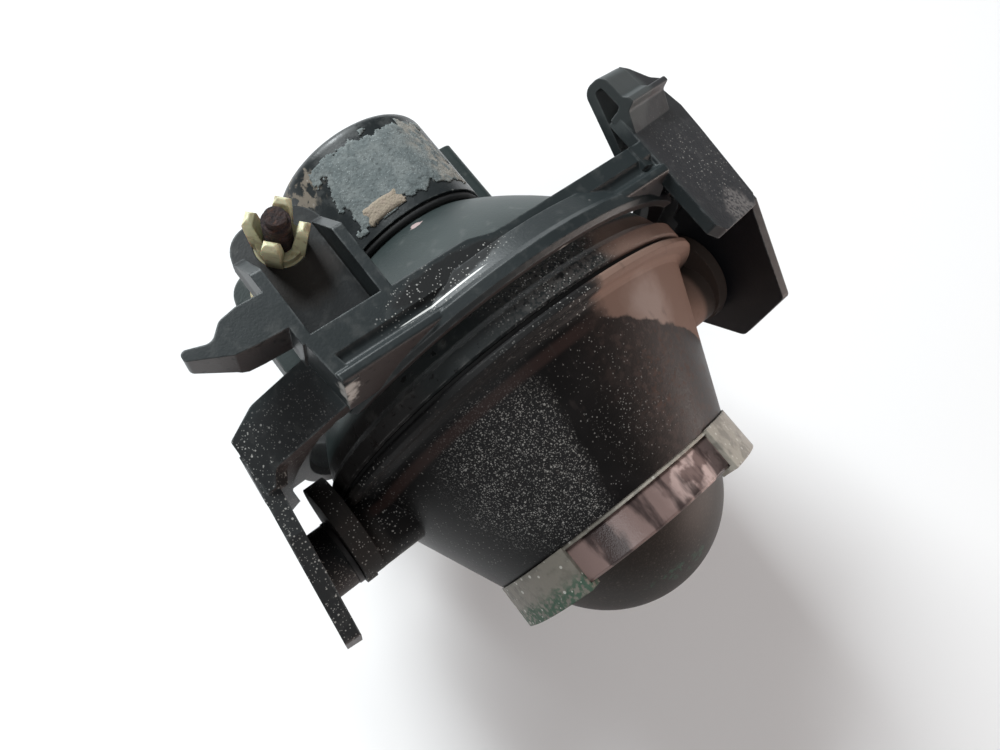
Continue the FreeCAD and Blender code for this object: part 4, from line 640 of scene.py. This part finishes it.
def label_patch(name, angles, stations, edge, thickness, material, seed):
    """Torn patch of label that lies on the round side of the cap; the tear follows noise."""
    low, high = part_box("rear_cap")
    radius = (high.x - low.x) / 2
    step = LABEL_STEP_MM * MM
    columns = int(radius * math.radians(angles[1] - angles[0]) / step)
    rows = int((stations[1] - stations[0]) * MM / step)
    points = []
    faces = []
    corner = {}

    def height(column, row):
        """Distance inside the torn outline, from 0 at the tear to 1."""
        across = column / columns
        down = row / rows
        margin = min(across, 1 - across, (down + LABEL_EDGE_MARGIN), 1 - down) * 2
        place = Vector((column * LABEL_NOISE_SCALE, row * LABEL_NOISE_SCALE, seed))
        shake = noise.fractal(place, 0.9, 2.1, 5)
        return margin * 1.5 + 0.30 * shake - edge

    def point(column, row):
        """Index of the mesh point of a grid corner, made at its first use."""
        key = (column, row)
        if key not in corner:
            angle = math.radians(angles[0]) + column * step / radius
            y = stations[0] * MM + row * step
            lift = radius + thickness * MM * min(1.0, max(0.15, height(column, row) * 3))
            corner[key] = len(points)
            points.append((lift * math.cos(angle), y, lift * math.sin(angle)))
        return corner[key]

    for column in range(columns):
        for row in range(rows):
            if height(column + 0.5, row + 0.5) > 0:
                first = point(column, row)
                second = point(column + 1, row)
                third = point(column + 1, row + 1)
                fourth = point(column, row + 1)
                faces.append([first, second, third, fourth])
    patch = link_mesh(name, points, faces)
    for polygon in patch.data.polygons:
        polygon.use_smooth = True
    solid = patch.modifiers.new("paper", "SOLIDIFY")
    solid.thickness = LABEL_PAPER_MM * MM
    solid.offset = -1.0
    patch.data.materials.append(material)
    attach(patch, "cap")


def make_label():
    """What is left of a label on the cap."""
    label_patch("label_residue", (36, 133), (34.1, 55.0), 0.16, 0.22, label_residue(), 3.3)
    label_patch("label_flap", (92, 121), (34.2, 39.2), 0.22, 0.45, label_edge(), 8.1)


def make_stage():
    """Pale floor under the object."""
    height = cad_low.z - FLOOR_GAP_MM * MM
    signs = ((-1, -1), (1, -1), (1, 1), (-1, 1))
    corners = [(FLOOR_HALF * x, FLOOR_HALF * y, height) for x, y in signs]
    floor = link_mesh("floor", corners, [(0, 1, 2, 3)])
    material = bpy.data.materials.new("floor")
    material.use_nodes = True
    shader = material.node_tree.nodes["Principled BSDF"]
    shader.inputs["Base Color"].default_value = FLOOR_WHITE
    shader.inputs["Roughness"].default_value = 0.9
    floor.data.materials.append(material)


def add_light(name, place, size, power, colour):
    """Square soft light that looks at the object."""
    data = bpy.data.lights.new(name, "AREA")
    data.shape = "SQUARE"
    data.size = size
    data.energy = power
    data.color = colour
    light = bpy.data.objects.new(name, data)
    light.location = place
    light.rotation_mode = "QUATERNION"
    light.rotation_quaternion = (-Vector(place)).to_track_quat("-Z", "Y")
    bpy.context.scene.collection.objects.link(light)


def make_lights():
    """Soft studio light: cool from above and behind, warm from the front."""
    world = bpy.data.worlds.new("world")
    world.use_nodes = True
    background = world.node_tree.nodes["Background"]
    background.inputs["Color"].default_value = SKY_COLOUR
    background.inputs["Strength"].default_value = SKY_STRENGTH
    bpy.context.scene.world = world
    add_light("key", (-0.10, 1.05, 0.70), 0.6, 26.0, (0.93, 0.98, 1.0))
    add_light("back", (-0.75, -0.45, 1.15), 0.7, 5.5, (0.98, 0.99, 1.0))
    add_light("warm", (0.65, -0.95, 0.25), 0.4, 5.0, (1.0, 0.80, 0.72))
    add_light("right", (0.95, -0.65, 0.04), 0.35, 4.0, (1.0, 0.88, 0.82))


def set_view():
    """Colours without a film curve."""
    bpy.context.scene.view_settings.view_transform = "Standard"


place_camera()
make_materials()
make_label()
make_stage()
make_lights()
set_view()
